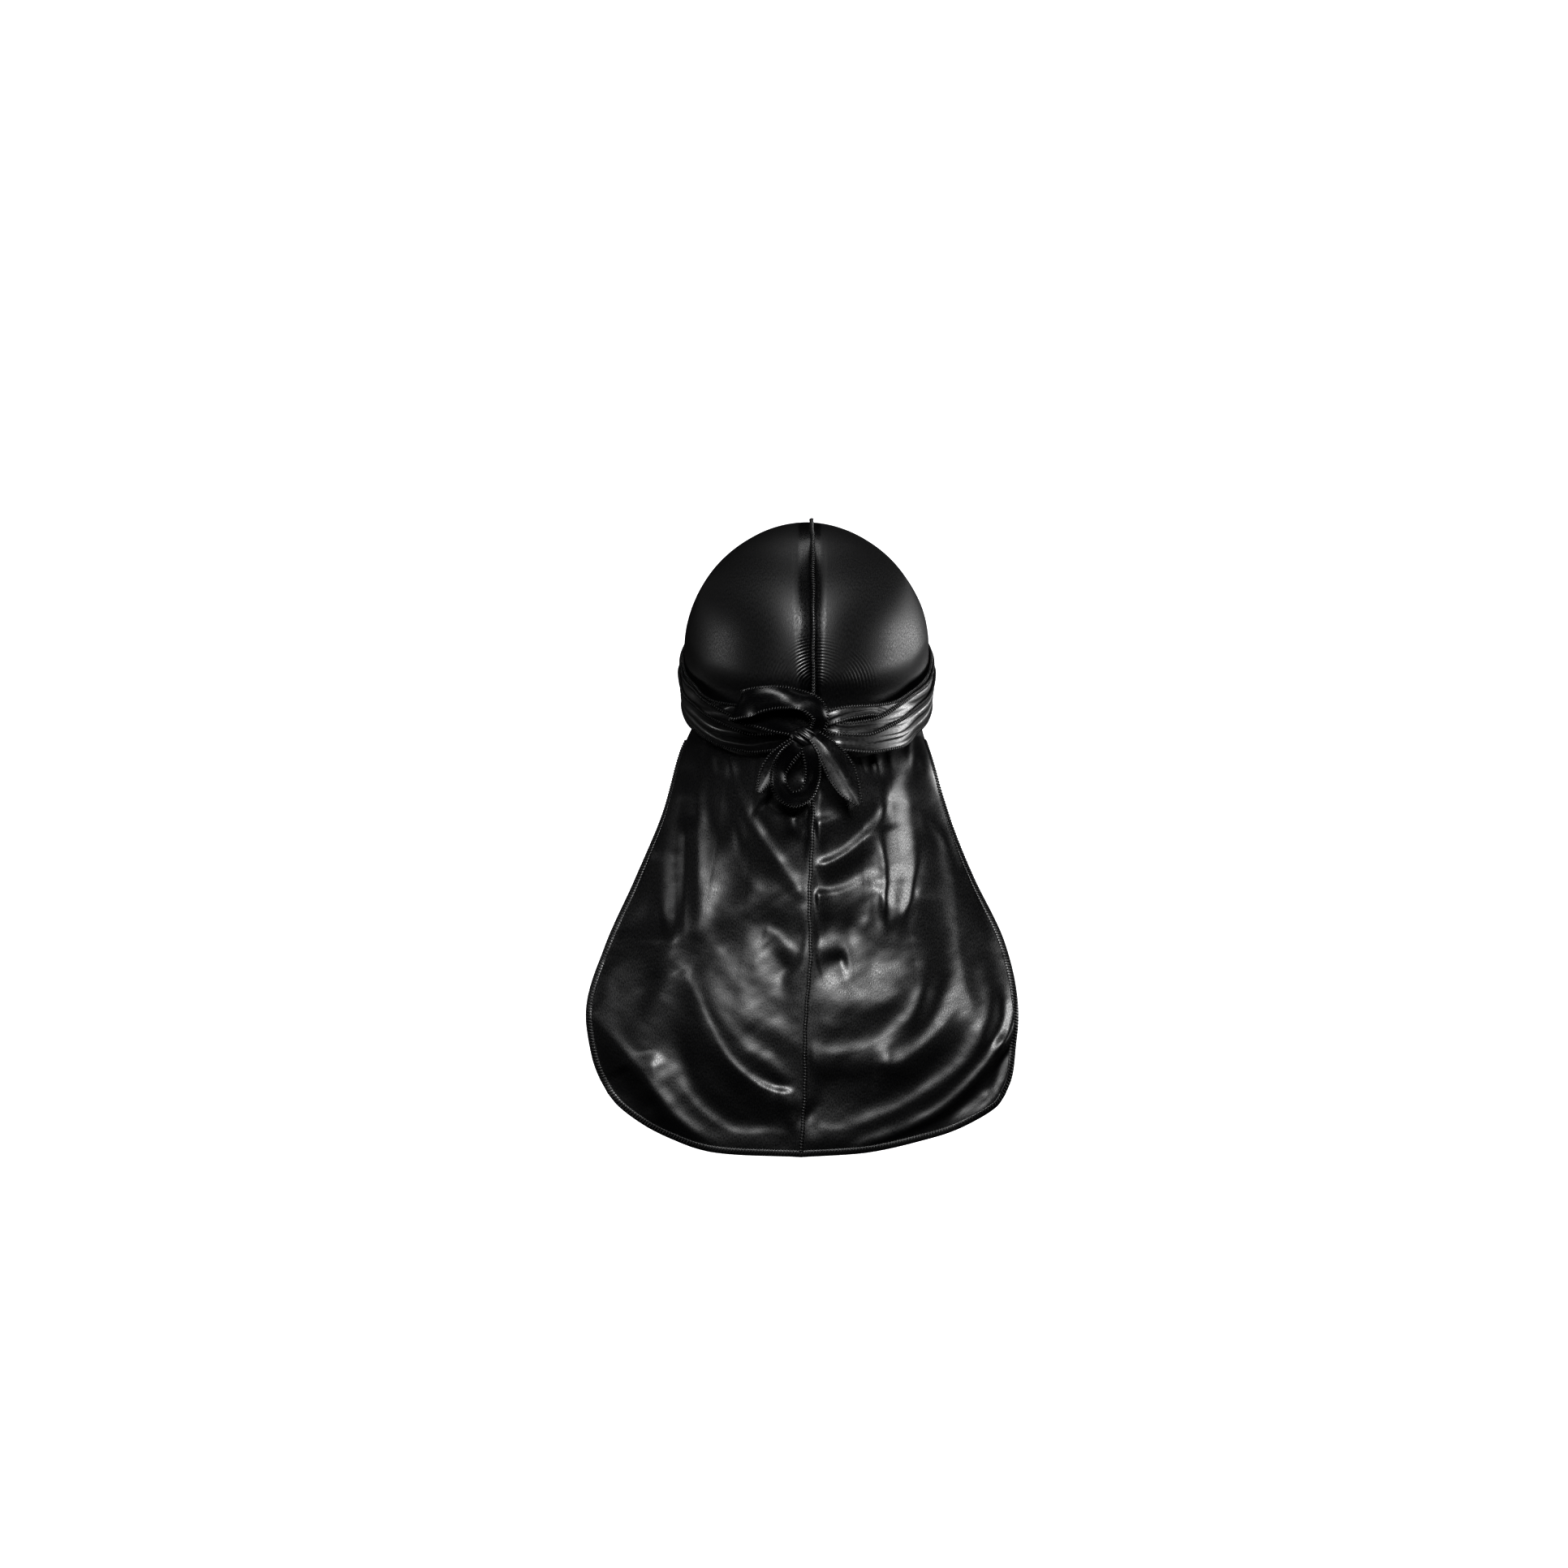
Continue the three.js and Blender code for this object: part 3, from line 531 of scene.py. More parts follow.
SWELLS: tuple[Swell, ...] = tuple(
    Swell(*row)
    for row in (
        (-62.6, -152.2, 89, 14.1, 8.6, -0.39), (78.3, -156.7, 87, 8.1, 5.4, 0.84),
        (65.7, -159.2, 74, 20.5, 8.5, -2.17), (-6.6, -160.3, 118, 9.3, 5.3, 0.45),
        (83.2, -162.9, 107, 8.7, 4, 1.5), (34.2, -163.9, 27, 12.1, 4.6, -0.7),
        (-8, -164.5, 149, 12.2, 4.5, 0.77), (3.4, -168.3, 21, 11.3, 6.7, 1.81),
        (-2.7, -169.5, 0, 11, 6.6, 1.81), (-84.1, -170.2, 77, 8, 4.9, -0.32),
        (79, -171.7, 139, 18.6, 5.9, -1.67), (17.1, -171.7, 20, 8.4, 5.3, 0.25),
        (-45.1, -174.3, 102, 15.5, 7.3, -1.14), (-75.4, -174.3, 98, 14.9, 6.1, 0.5),
        (70.4, -174.7, 101, 8.1, 4.6, 0.29), (45.5, -176, 51, 14.9, 6.4, 1.88),
        (-7.9, -178.4, 150, 12, 4.4, -0.87), (-17.1, -179.6, 169, 10.4, 4, -1.23),
        (6.7, -179.9, 28, 7.7, 5.4, 0.7), (84.3, -182.8, 110, 9.1, 5.1, -0.93),
        (47.8, -183.9, 88, 9, 4, 0.91), (47.8, -184.9, 145, 12.1, 4.4, 0.42),
        (62, -185, 150, 12, 4.7, -0.41), (-5.6, -187.9, 14, 8.8, 4, 1.6),
        (64.4, -191.4, 97, 21.4, 5.9, -1.87), (89.6, -193.8, 110, 14.2, 7.8, -0.29),
        (-85.8, -195.4, 60, 14.7, 7.9, 0.44), (-61.4, -196, 108, 15.9, 6.3, -0.91),
        (-36.6, -197.8, 127, 13.8, 6.3, 1.16), (38.8, -198, 50, 14.7, 7.2, -0.24),
        (-7.9, -198.9, 149, 12.1, 4.7, 1.08), (76.2, -199, 122, 12.1, 4.6, -0.87),
        (55.2, -199.1, 117, 12.1, 4.5, 0.67), (-7.5, -201.5, 69, 22.7, 12.6, 4.42),
        (6, -205.9, 90, 7.1, 4.5, 0.55), (-43.3, -206.1, 91, 12.1, 4.4, -0.57),
        (91.1, -208.4, 113, 8.8, 4.9, 0.68), (82.9, -213, 91, 12.1, 4.7, -0.46),
        (48, -216.4, 95, 11.6, 4, 1.62), (-73.7, -216.9, 75, 15.3, 7.6, 0.49),
        (49.8, -218.3, 95, 23.7, 10.1, 2.93), (-46.6, -218.5, 122, 18, 10.9, -0.91),
        (-97.5, -219.6, 79, 16.1, 8, 1.19), (97, -220, 118, 12, 4.5, 0.49),
        (68.8, -222.3, 91, 21.4, 8.7, -3.01), (25.6, -222.7, 27, 13, 11, -1.25),
        (40.5, -230, 17, 8.3, 4, 0.53), (53.5, -235.1, 146, 8, 7.4, 1.32),
        (90.5, -236.9, 110, 16.7, 7, -0.61), (17.4, -237, 174, 14.9, 12.9, -1.83),
        (-56.4, -237.9, 94, 12.6, 9.1, -0.25), (-13.2, -238.3, 95, 13.8, 7.8, -0.85),
        (-114, -240.2, 64, 14.8, 6.7, -1.53), (65.4, -240.4, 79, 17, 4, -2.28),
        (-14.8, -240.9, 29, 12.1, 4.5, -0.4), (13.2, -241, 120, 12.2, 4.6, -0.42),
        (49, -241.5, 87, 15.1, 4, 2.85), (-36.4, -241.6, 71, 13.6, 7.5, 0.7),
        (64.7, -247.6, 32, 11.7, 4.8, -1.93), (48.1, -248, 88, 7.1, 4.9, 0.83),
        (61.9, -254.6, 31, 12.1, 4.6, -0.64), (-1, -254.7, 93, 12.4, 4.4, 0.76),
        (110.9, -255, 121, 12, 4.5, -0.34), (13.3, -255, 89, 12, 4.7, -0.37),
        (-91.2, -255.1, 92, 7.1, 4.4, -0.92), (-53.9, -255.1, 27, 20, 9.1, 2.1),
        (-68.1, -256.7, 87, 15.4, 7.6, 3.18), (101.6, -261.4, 101, 14.3, 5.7, 0.48),
        (-120.4, -261.8, 90, 12.1, 4.5, -0.48), (27.5, -262.3, 90, 11.9, 4.7, -0.47),
        (18.3, -263.5, 2, 18.1, 11.9, -2.85), (-19, -263.9, 144, 17, 12.4, -2.62),
        (53.2, -265.3, 172, 16.7, 8.5, 0.99), (80, -267.3, 79, 19.3, 8.5, 1.08),
        (68.9, -268.9, 3, 12.1, 4.7, 0.77), (-98.8, -269.9, 2, 12.5, 4.6, 1.32),
        (-99.3, -271.1, 90, 18.5, 15, 3.34), (-56.8, -275.9, 122, 12.1, 4.6, 0.17),
        (-0.5, -276.3, 82, 12.4, 4, 1.15), (-89.1, -277.8, 78, 15.5, 9.6, 2.17),
        (-60.4, -280.7, 59, 13.3, 6, 0.33), (34.6, -281.3, 174, 14.7, 13.5, -1.15),
        (-120.2, -281.4, 4, 11.1, 4.1, -0.68), (115.9, -281.7, 105, 15.4, 6.5, -0.5),
        (-36.2, -282.9, 65, 12.1, 4.5, -0.28), (-127.2, -283, 30, 12.1, 4.5, -0.74),
        (125.3, -283.3, 178, 12.1, 4.4, -0.84), (-132, -284.4, 60, 10, 4.8, -1.48),
        (92.6, -285.3, 80, 17.4, 8.4, -0.44), (16.1, -286.1, 30, 14.4, 7.4, -0.94),
        (67.3, -287.4, 73, 19.7, 14.7, 1.94), (-18.8, -290, 105, 18.8, 8.1, -2.18),
        (110.7, -290.1, 60, 6.9, 4.7, 0.35), (48.1, -290.2, 152, 12.3, 4.6, 0.23),
        (26.7, -296, 121, 7.1, 4.7, -0.4), (-36.2, -297, 91, 12, 4.5, -0.13),
        (-99.3, -297.2, 27, 12, 4.6, -0.76), (103.1, -301.5, 159, 16.6, 8.8, -0.79),
        (-48.1, -302.2, 130, 15.6, 4.9, -0.39), (71.6, -303.6, 68, 10.9, 5.5, 1.13),
        (5.3, -304.1, 86, 12.2, 4.3, 0.51), (-75.4, -304.4, 125, 16.1, 11.8, -0.79),
        (-127.2, -305.1, 88, 13.8, 7.1, 0.58), (80.9, -307.5, 63, 17.5, 7.2, -1.6),
        (-96.3, -307.6, 56, 16.3, 5.9, 0.83), (-25, -308.1, 136, 16.4, 8.4, -1.3),
        (123.2, -308.8, 119, 18, 8.5, -1.77), (47.3, -309.8, 28, 17.2, 8.1, 1.64),
        (26.9, -309.8, 179, 19.7, 9.1, 1.08), (-60.7, -320.2, 113, 15.6, 4.3, -0.77),
        (83.3, -321.9, 48, 15.8, 7.7, -1.2), (-34, -322, 144, 13.7, 7.9, 0.87),
        (16.1, -322.3, 15, 13.9, 9.3, 1.35), (106, -323.3, 105, 17.5, 10, 2.36),
        (-132.2, -324.4, 120, 14.6, 8.2, -1.3), (69.6, -326.2, 58, 14.9, 6.4, -0.65),
        (-85.5, -327.2, 121, 15.4, 9.7, -0.46), (-14.2, -329, 146, 15.3, 6.1, 0.41),
        (45.2, -329.2, 30, 18.1, 6.3, -1.42), (-107.4, -330.9, 136, 14.4, 9.6, 1.27),
        (121.1, -334.9, 63, 6, 4, 1.68), (-22, -338.7, 94, 12, 4.8, -0.52),
        (124.2, -339.7, 56, 6.9, 4, -0.81), (-43.5, -341.3, 114, 16.3, 9.6, 1.14),
        (98.2, -342, 59, 15.1, 10.5, 1.58), (5.2, -342.4, 112, 12.6, 7.6, 2.13),
        (-76.1, -347.4, 107, 16.1, 7.1, -1.53), (-124.3, -347.9, 112, 14.2, 7.6, -0.51),
        (49.2, -348.4, 17, 17.3, 10.4, 1.48), (-19.7, -348.8, 136, 13.3, 4.7, 0.78),
        (74.8, -349.3, 40, 12.8, 7.3, -0.6), (120.5, -349.5, 78, 9.5, 4.6, -1.01),
        (29.6, -350.8, 5, 16.7, 10, 1.08), (-102, -351.1, 104, 19, 8.2, 1.33),
        (-126.7, -352.8, 120, 12, 4.5, -0.33), (126.2, -355.1, 67, 20.1, 5.2, 2.46),
        (-85.4, -355.8, 106, 8.8, 6.2, 1.08), (-20.3, -361, 62, 5.9, 5.2, -0.9),
        (-99.3, -361.5, 122, 11.4, 4.3, 1.73), (-94.1, -366.8, 120, 18.1, 10.8, 2.1),
        (-120.1, -367.1, 120, 12, 4.5, -0.16), (14.4, -368.3, 10, 15, 9.1, -0.67),
        (-9.6, -369.1, 162, 6.1, 5.5, 1.22), (-35.1, -369.5, 171, 14.2, 8.5, -0.37),
        (39.6, -372.2, 5, 15.6, 9, -0.62), (-59.3, -372.5, 141, 16.6, 7, -1.25),
        (67.1, -373, 32, 14.2, 6.6, 0.38), (113.1, -374.3, 50, 10.4, 4.4, 1.71),
        (91.9, -376.3, 35, 18.2, 6.6, -1.51), (-0.7, -376.7, 53, 7.8, 4.3, -1.68),
        (110.1, -377.5, 30, 19.4, 4, 2.2), (-8, -380.8, 117, 12.3, 4.5, 0.77),
        (-50, -385.7, 2, 19.3, 9.9, -1.58), (-21.5, -387.6, 156, 15.2, 7.8, -1.12),
        (49.3, -387.8, 7, 15.2, 8.1, -0.83), (-15.1, -395.1, 92, 12, 4.5, -0.57),
        (3.5, -395.1, 172, 13.6, 7.9, 1.53), (24.5, -395.5, 168, 15.3, 6.7, 1.08),
        (33.9, -395.9, 29, 7.1, 4, 1.28),
    )
)


@dataclass(frozen=True)
class Crumple:
    """Slow unevenness of the cloth, as waves of fixed random directions."""

    seed: int
    waves: int
    shortest: float
    longest: float
    height: float

    def at(self, a: np.ndarray, b: np.ndarray) -> np.ndarray:
        """Returns heights at places on the cloth.

        Args:
            a: The places' first coordinate, in millimetres.
            b: Their second.

        Returns:
            The heights, in millimetres.
        """
        draw = np.random.default_rng(self.seed)
        total = np.zeros(np.shape(a))
        for _ in range(self.waves):
            angle = draw.uniform(0, math.pi)
            span = math.exp(draw.uniform(math.log(self.shortest), math.log(self.longest)))
            phase = draw.uniform(0, 2 * math.pi)
            turn = 2 * math.pi / span
            total += span / self.longest * np.sin(turn * (a * math.cos(angle) + b * math.sin(angle)) + phase)
        return self.height * total / math.sqrt(self.waves)


def grid_normals(points: np.ndarray) -> np.ndarray:
    """Returns the unit normals of a grid of points, rows down and columns across."""
    down = np.gradient(points, axis=0)
    across = np.gradient(points, axis=1)
    return unit(np.cross(across, down))


def grid_lengths(points: np.ndarray) -> np.ndarray:
    """Returns, for each point of a grid, its lengths across and down the cloth in metres."""
    across = np.linalg.norm(np.diff(points, axis=1), axis=-1)
    across = np.concatenate([np.zeros((points.shape[0], 1)), np.cumsum(across, axis=1)], axis=1)
    down = np.linalg.norm(np.diff(points, axis=0), axis=-1).mean(axis=1)
    down = np.concatenate([[0.0], np.cumsum(down)])[:, None] * np.ones_like(across)
    return np.stack([across, down], axis=-1) * MM


def mesh_object(name: str, points: np.ndarray, faces: np.ndarray, uv: Optional[np.ndarray]) -> bpy.types.Object:
    """Makes an object from points in millimetres, with its faces turned outwards.

    Args:
        name: The piece's name.
        points: The vertices.
        faces: Rows of vertex numbers, all of one length.
        uv: One pair for each vertex, or None.

    Returns:
        The object, linked to the scene.
    """
    corners = points[faces]
    first = corners[:, 0]
    volume = 0.0
    for k in range(1, faces.shape[1] - 1):
        volume += float((first * np.cross(corners[:, k], corners[:, k + 1])).sum())
    if volume < 0:
        faces = faces[:, ::-1]
    mesh = bpy.data.meshes.new(name)
    mesh.from_pydata((points * MM).tolist(), [], faces.tolist())
    mesh.polygons.foreach_set("use_smooth", np.ones(len(faces), dtype=bool))
    if uv is not None:
        layer = mesh.uv_layers.new(name="cloth")
        layer.data.foreach_set("uv", uv[faces.ravel()].ravel())
    mesh.set_sharp_from_angle(angle=math.radians(60))
    mesh.update()
    made = bpy.data.objects.new(name, mesh)
    bpy.context.scene.collection.objects.link(made)
    return made


def thin_wall(name: str, points: np.ndarray, thickness: float) -> bpy.types.Object:
    """Makes a closed thin wall of cloth about a grid of middle points.

    Args:
        name: The piece's name.
        points: The middle points, rows down and columns across, in millimetres.
        thickness: The cloth's thickness.

    Returns:
        The object.
    """
    rows, columns = points.shape[:2]
    normal = grid_normals(points) * thickness / 2
    lengths = grid_lengths(points).reshape(-1, 2)
    count = rows * columns
    index = np.arange(count).reshape(rows, columns)
    a, b = index[:-1, :-1].ravel(), index[:-1, 1:].ravel()
    c, d = index[1:, 1:].ravel(), index[1:, :-1].ravel()
    top = np.stack([a, b, c, d], axis=1)
    under = np.stack([a, d, c, b], axis=1) + count
    border = np.concatenate([index[0, :-1], index[:-1, -1], index[-1, :0:-1], index[:0:-1, 0]])
    following = np.roll(border, -1)
    rim = np.stack([following, border, border + count, following + count], axis=1)
    vertices = np.concatenate([(points + normal).reshape(-1, 3), (points - normal).reshape(-1, 3)])
    return mesh_object(name, vertices, np.concatenate([top, under, rim]), np.concatenate([lengths, lengths]))


def swept_tube(
    name: str,
    middles: np.ndarray,
    across: np.ndarray,
    outwards: np.ndarray,
    half_width: np.ndarray,
    half_height: np.ndarray,
    sides: int = 14,
    power: float = 1.6,
) -> bpy.types.Object:
    """Makes a rounded closed bar along a line of middles.

    Args:
        name: The piece's name.
        middles: The line's points, in millimetres.
        across: Unit vectors along the section's width.
        outwards: Unit vectors along its height.
        half_width: Half the width at each point.
        half_height: Half the height at each point.
        sides: The corners of the section.
        power: The section's squareness, 1 for an ellipse and more for a fuller one.

    Returns:
        The object.
    """
    angle = np.arange(sides) * 2 * math.pi / sides
    full = 1.0 / power
    wide = np.sign(np.cos(angle)) * np.abs(np.cos(angle)) ** full
    tall = np.sign(np.sin(angle)) * np.abs(np.sin(angle)) ** full
    ring = middles[:, None] + across[:, None] * (half_width[:, None] * wide)[..., None]
    ring = ring + outwards[:, None] * (half_height[:, None] * tall)[..., None]
    along = np.concatenate([[0.0], np.cumsum(np.linalg.norm(np.diff(middles, axis=0), axis=1))]) * MM
    round_it = np.arange(sides) / sides * TUBE_GIRTH
    uv = np.stack(np.broadcast_arrays(round_it[None, :], along[:, None]), axis=-1).reshape(-1, 2)
    uv = np.concatenate([uv, [[0, 0]], [[0, along[-1]]]])
    return ringed(name, ring, middles[[0, -1]], uv)


def ringed(name: str, rings: np.ndarray, poles: np.ndarray, uv: np.ndarray) -> bpy.types.Object:
    """Makes a closed body of rings with a pole at each end.

    Args:
        name: The piece's name.
        rings: The points, one row for each ring, in millimetres.
        poles: The two poles.
        uv: One pair for each vertex, ring by ring and then the poles.

    Returns:
        The object.
    """
    count, sides = rings.shape[:2]
    index = np.arange(count * sides).reshape(count, sides)
    turned = np.roll(index, -1, axis=1)
    quads = np.stack([index[:-1], turned[:-1], turned[1:], index[1:]], axis=-1).reshape(-1, 4)
    start = np.stack([np.full(sides, index.size), turned[0], index[0]], axis=1)
    end = np.stack([np.full(sides, index.size + 1), index[-1], turned[-1]], axis=1)
    triangles = np.concatenate([quads[:, [0, 1, 2]], quads[:, [0, 2, 3]], start, end])
    return mesh_object(name, np.concatenate([rings.reshape(-1, 3), poles]), triangles, uv)


# Finishes


class NodeKit:
    """Adds nodes to one tree, each with its settings, values and links in one call."""

    def __init__(self, tree: bpy.types.NodeTree) -> None:
        """Keeps the tree."""
        self.tree = tree

    def add(self, kind: str, inputs: Optional[dict] = None, **settings: Any) -> bpy.types.Node:
        """Adds a node.

        Args:
            kind: The node's type.
            inputs: For an input's name or number, its value or the socket that is linked to it.
            settings: The node's own properties.

        Returns:
            The node.
        """
        node = self.tree.nodes.new(kind)
        for name, value in settings.items():
            setattr(node, name, value)
        for key, value in (inputs or {}).items():
            if isinstance(value, bpy.types.NodeSocket):
                self.tree.links.new(value, node.inputs[key])
            else:
                node.inputs[key].default_value = value
        return node

    def math(self, operation: str, *values: Any) -> bpy.types.NodeSocket:
        """Adds a sum of values or sockets and returns its result."""
        return self.add("ShaderNodeMath", dict(enumerate(values)), operation=operation).outputs[0]

    def ramp(self, value: bpy.types.NodeSocket, span: Span, ends: Span) -> bpy.types.NodeSocket:
        """Adds a smooth change from one end value to the other over a span and returns its result."""
        limits = {"From Min": span[0], "From Max": span[1], "To Min": ends[0], "To Max": ends[1]}
        limits["Value"] = value
        return self.add("ShaderNodeMapRange", limits, interpolation_type="SMOOTHSTEP").outputs[0]


def weave_group() -> bpy.types.ShaderNodeTree:
    """Builds the satin weave's node group: fine floats along the cloth, slubs and soft unevenness.

    Returns:
        The group, with the inputs Pitch, Float and Slub and the outputs Height, Grain and Tone.
    """
    tree = bpy.data.node_groups.new("satin_weave", "ShaderNodeTree")
    for name, low, high in (("Pitch", 0.1, 20000.0), ("Float", 0.01, 20.0), ("Slub", 0.0, 1.0)):
        socket = tree.interface.new_socket(name, in_out="INPUT", socket_type="NodeSocketFloat")
        socket.min_value, socket.max_value = low, high
    for name in ("Height", "Grain", "Tone"):
        tree.interface.new_socket(name, in_out="OUTPUT", socket_type="NodeSocketFloat")
    kit = NodeKit(tree)
    given, put = kit.add("NodeGroupInput").outputs, kit.add("NodeGroupOutput").inputs
    cloth = kit.add("ShaderNodeUVMap", uv_map="cloth").outputs[0]
    place = kit.add("ShaderNodeTexCoord").outputs["Object"]
    down = kit.math("MULTIPLY", given["Pitch"], given["Float"])
    pitches = kit.add("ShaderNodeCombineXYZ", {0: given["Pitch"], 1: down}).outputs[0]
    scaled = kit.add("ShaderNodeVectorMath", {0: cloth, 1: pitches}, operation="MULTIPLY").outputs[0]
    floats = kit.add("ShaderNodeTexNoise", {"Vector": scaled, "Scale": 1.0, "Detail": 1.5, "Roughness": 0.6})
    slubs = kit.add("ShaderNodeTexNoise", {"Vector": place, "Scale": SLUB_SCALE, "Detail": 3.0})
    soft = kit.add("ShaderNodeTexNoise", {"Vector": place, "Scale": TONE_SCALE, "Detail": 2.0})
    both = {"Factor": given["Slub"], 2: floats.outputs[0], 3: slubs.outputs[0]}
    mixed = kit.add("ShaderNodeMix", both, data_type="FLOAT")
    for name, node in (("Height", mixed), ("Grain", floats), ("Tone", soft)):
        tree.links.new(node.outputs[0], put[name])
    return tree


@dataclass(frozen=True)
class Finish:
    """One cloth or thread finish and the sizes of its weave."""

    name: str
    slot: str
    colour: tuple[float, float, float]
    light_colour: tuple[float, float, float]
    roughness: float
    roughness_spread: float
    specular: float
    anisotropy: float
    pitch: float
    float_share: float
    slub: float
    bump: float
    anisotropic_turn: float = 0.0
    stretched: bool = False

    def material(self, weave: bpy.types.ShaderNodeTree) -> bpy.types.Material:
        """Builds the finish's material.

        Args:
            weave: The shared weave group.

        Returns:
            The material.
        """
        made = bpy.data.materials.new(self.name)
        made.use_nodes = True
        made.diffuse_color = (*self.colour, 1.0)
        kit = NodeKit(made.node_tree)
        shader = made.node_tree.nodes["Principled BSDF"].inputs
        shader["Specular IOR Level"].default_value = self.specular
        shader["Anisotropic"].default_value = self.anisotropy
        shader["Anisotropic Rotation"].default_value = self.anisotropic_turn
        sizes = {"Pitch": self.pitch, "Float": self.float_share, "Slub": self.slub}
        cloth = kit.add("ShaderNodeGroup", sizes, node_tree=weave).outputs
        colours = {"Factor": cloth["Tone"], 6: (*self.colour, 1.0), 7: (*self.light_colour, 1.0)}
        tone = kit.add("ShaderNodeMix", colours, data_type="RGBA").outputs[2]
        low, high = self.roughness - self.roughness_spread, self.roughness + self.roughness_spread
        spread = {"Value": cloth["Grain"], "From Min": 0.3, "From Max": 0.7, "To Min": low, "To Max": high}
        rough = kit.add("ShaderNodeMapRange", spread).outputs[0]
        relief = {"Strength": 1.0, "Distance": self.bump * MM, "Height": cloth["Height"]}
        if self.stretched:
            rough = self.strain_gloss(kit, rough)
            relief["Normal"] = self.strain_ripples(kit)
        normal = kit.add("ShaderNodeBump", relief).outputs[0]
        for name, socket in (("Base Color", tone), ("Roughness", rough), ("Normal", normal)):
            made.node_tree.links.new(socket, shader[name])
        return made

    def strain_gloss(self, kit: NodeKit, plain: bpy.types.NodeSocket) -> bpy.types.NodeSocket:
        """Makes the cloth glossier, so darker here, beside the cap's seam and just above the straps.

        Args:
            kit: The material's nodes.
            plain: The roughness elsewhere.

        Returns:
            The socket of the roughness.
        """
        place = kit.add("ShaderNodeTexCoord").outputs["Object"]
        split = kit.add("ShaderNodeSeparateXYZ", {0: place}).outputs
        aside = kit.math("ABSOLUTE", kit.math("SUBTRACT", split[0], GLOSS_MIDDLE))
        near = kit.ramp(aside, GLOSS_ASIDE, (-0.2, 0.0))
        low = kit.ramp(split[2], GLOSS_ABOVE_STRAPS, (-0.12, 0.0))
        return kit.math("ADD", plain, kit.math("MINIMUM", near, low))

    def strain_ripples(self, kit: NodeKit) -> bpy.types.NodeSocket:
        """Adds the fine strain ripples that ring the foot of the cap's seam.

        Args:
            kit: The material's nodes.

        Returns:
            The socket of the rippled normal.
        """
        place = kit.add("ShaderNodeTexCoord").outputs["Object"]
        moved = {"Vector": place, "Location": RIPPLE_MIDDLE, "Scale": RIPPLE_SQUASH}
        shift = kit.add("ShaderNodeMapping", moved).outputs[0]
        waves = {"Vector": shift, "Scale": 160.0, "Distortion": 1.4, "Detail": 1.0, "Detail Scale": 0.6}
        rings = kit.add("ShaderNodeTexWave", waves, wave_type="RINGS", rings_direction="SPHERICAL")
        reach = kit.add("ShaderNodeVectorMath", {0: shift}, operation="LENGTH").outputs["Value"]
        fade = kit.ramp(reach, RIPPLE_REACH, (1.0, 0.0))
        height = kit.add("ShaderNodeSeparateXYZ", {0: place}).outputs[2]
        above = {"Value": height, "From Min": RIPPLE_FOOT[0], "From Max": RIPPLE_FOOT[1]}
        cap_only = kit.add("ShaderNodeMapRange", above).outputs[0]
        relief = kit.math("MULTIPLY", rings.outputs["Fac"], kit.math("MULTIPLY", fade, cap_only))
        bump = {"Strength": 1.0, "Distance": RIPPLE_HEIGHT, "Height": relief}
        return kit.add("ShaderNodeBump", bump).outputs[0]


SATIN = Finish(
    name="black_satin",
    slot="satin",
    colour=(0.0008, 0.0008, 0.001),
    light_colour=(0.002, 0.002, 0.0024),
    roughness=0.36,
    roughness_spread=0.1,
    specular=0.55,
    anisotropy=0.0,
    pitch=1500.0,
    float_share=0.45,
    slub=0.3,
    bump=0.07,
)
CAP_SATIN = replace(
    SATIN,
    name="black_stretched_satin",
    roughness=0.5,
    anisotropy=0.35,
    anisotropic_turn=0.25,
    stretched=True,
)
STRAP_SATIN = Finish(
    name="black_strap_satin",
    slot="satin",
    colour=(0.0008, 0.0008, 0.001),
    light_colour=(0.002, 0.002, 0.0024),
    roughness=0.4,
    roughness_spread=0.08,
    specular=1.0,
    anisotropy=0.25,
    pitch=1500.0,
    float_share=0.3,
    slub=0.3,
    bump=0.05,
)
# The bow's satin is the strap satin with less specular: a darker copy of the same cloth that paints shade on
# the bow.
SHADED_BOW_SATIN = replace(STRAP_SATIN, name="black_bow_satin_painted_shade", roughness=0.33, specular=0.35)
# The loops' copy has even less specular: painted shade where the loops lie under the rest of the bow.
DEEPER_SHADED_LOOP_SATIN = replace(SHADED_BOW_SATIN, name="black_loop_satin_painted_shade", roughness=0.3, specular=0.18)
THREAD = Finish(
    name="black_overlock_thread",
    slot="overlock",
    colour=(0.001, 0.001, 0.0012),
    light_colour=(0.003, 0.003, 0.0034),
    roughness=0.38,
    roughness_spread=0.06,
    specular=0.65,
    anisotropy=0.0,
    pitch=3200.0,
    float_share=0.5,
    slub=0.5,
    bump=0.08,
)


class Wardrobe:
    """The materials, made once, and the placing of finished pieces on the frame."""

    def __init__(self) -> None:
        """Makes every finish's material with the one weave group."""
        weave = weave_group()
        finishes = (SATIN, CAP_SATIN, STRAP_SATIN, SHADED_BOW_SATIN, DEEPER_SHADED_LOOP_SATIN, THREAD)
        self.materials = {finish.name: finish.material(weave) for finish in finishes}

    def dress(self, piece: bpy.types.Object, finish: Finish, replaced: Sequence[str] = ()) -> bpy.types.Object:
        """Gives a piece its material and its place on the frame.

        Args:
            piece: The finished piece.
            finish: Its finish.
            replaced: The frame's nodes that it stands for.

        Returns:
            The piece.
        """
        piece.data.materials.clear()
        piece.data.materials.append(self.materials[finish.name])
        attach(piece, ROOT_BODY)
        if replaced:
            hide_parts(*replaced)
        log.info("%s: %d faces in %s", piece.name, len(piece.data.polygons), finish.name)
        return piece


# Stitches


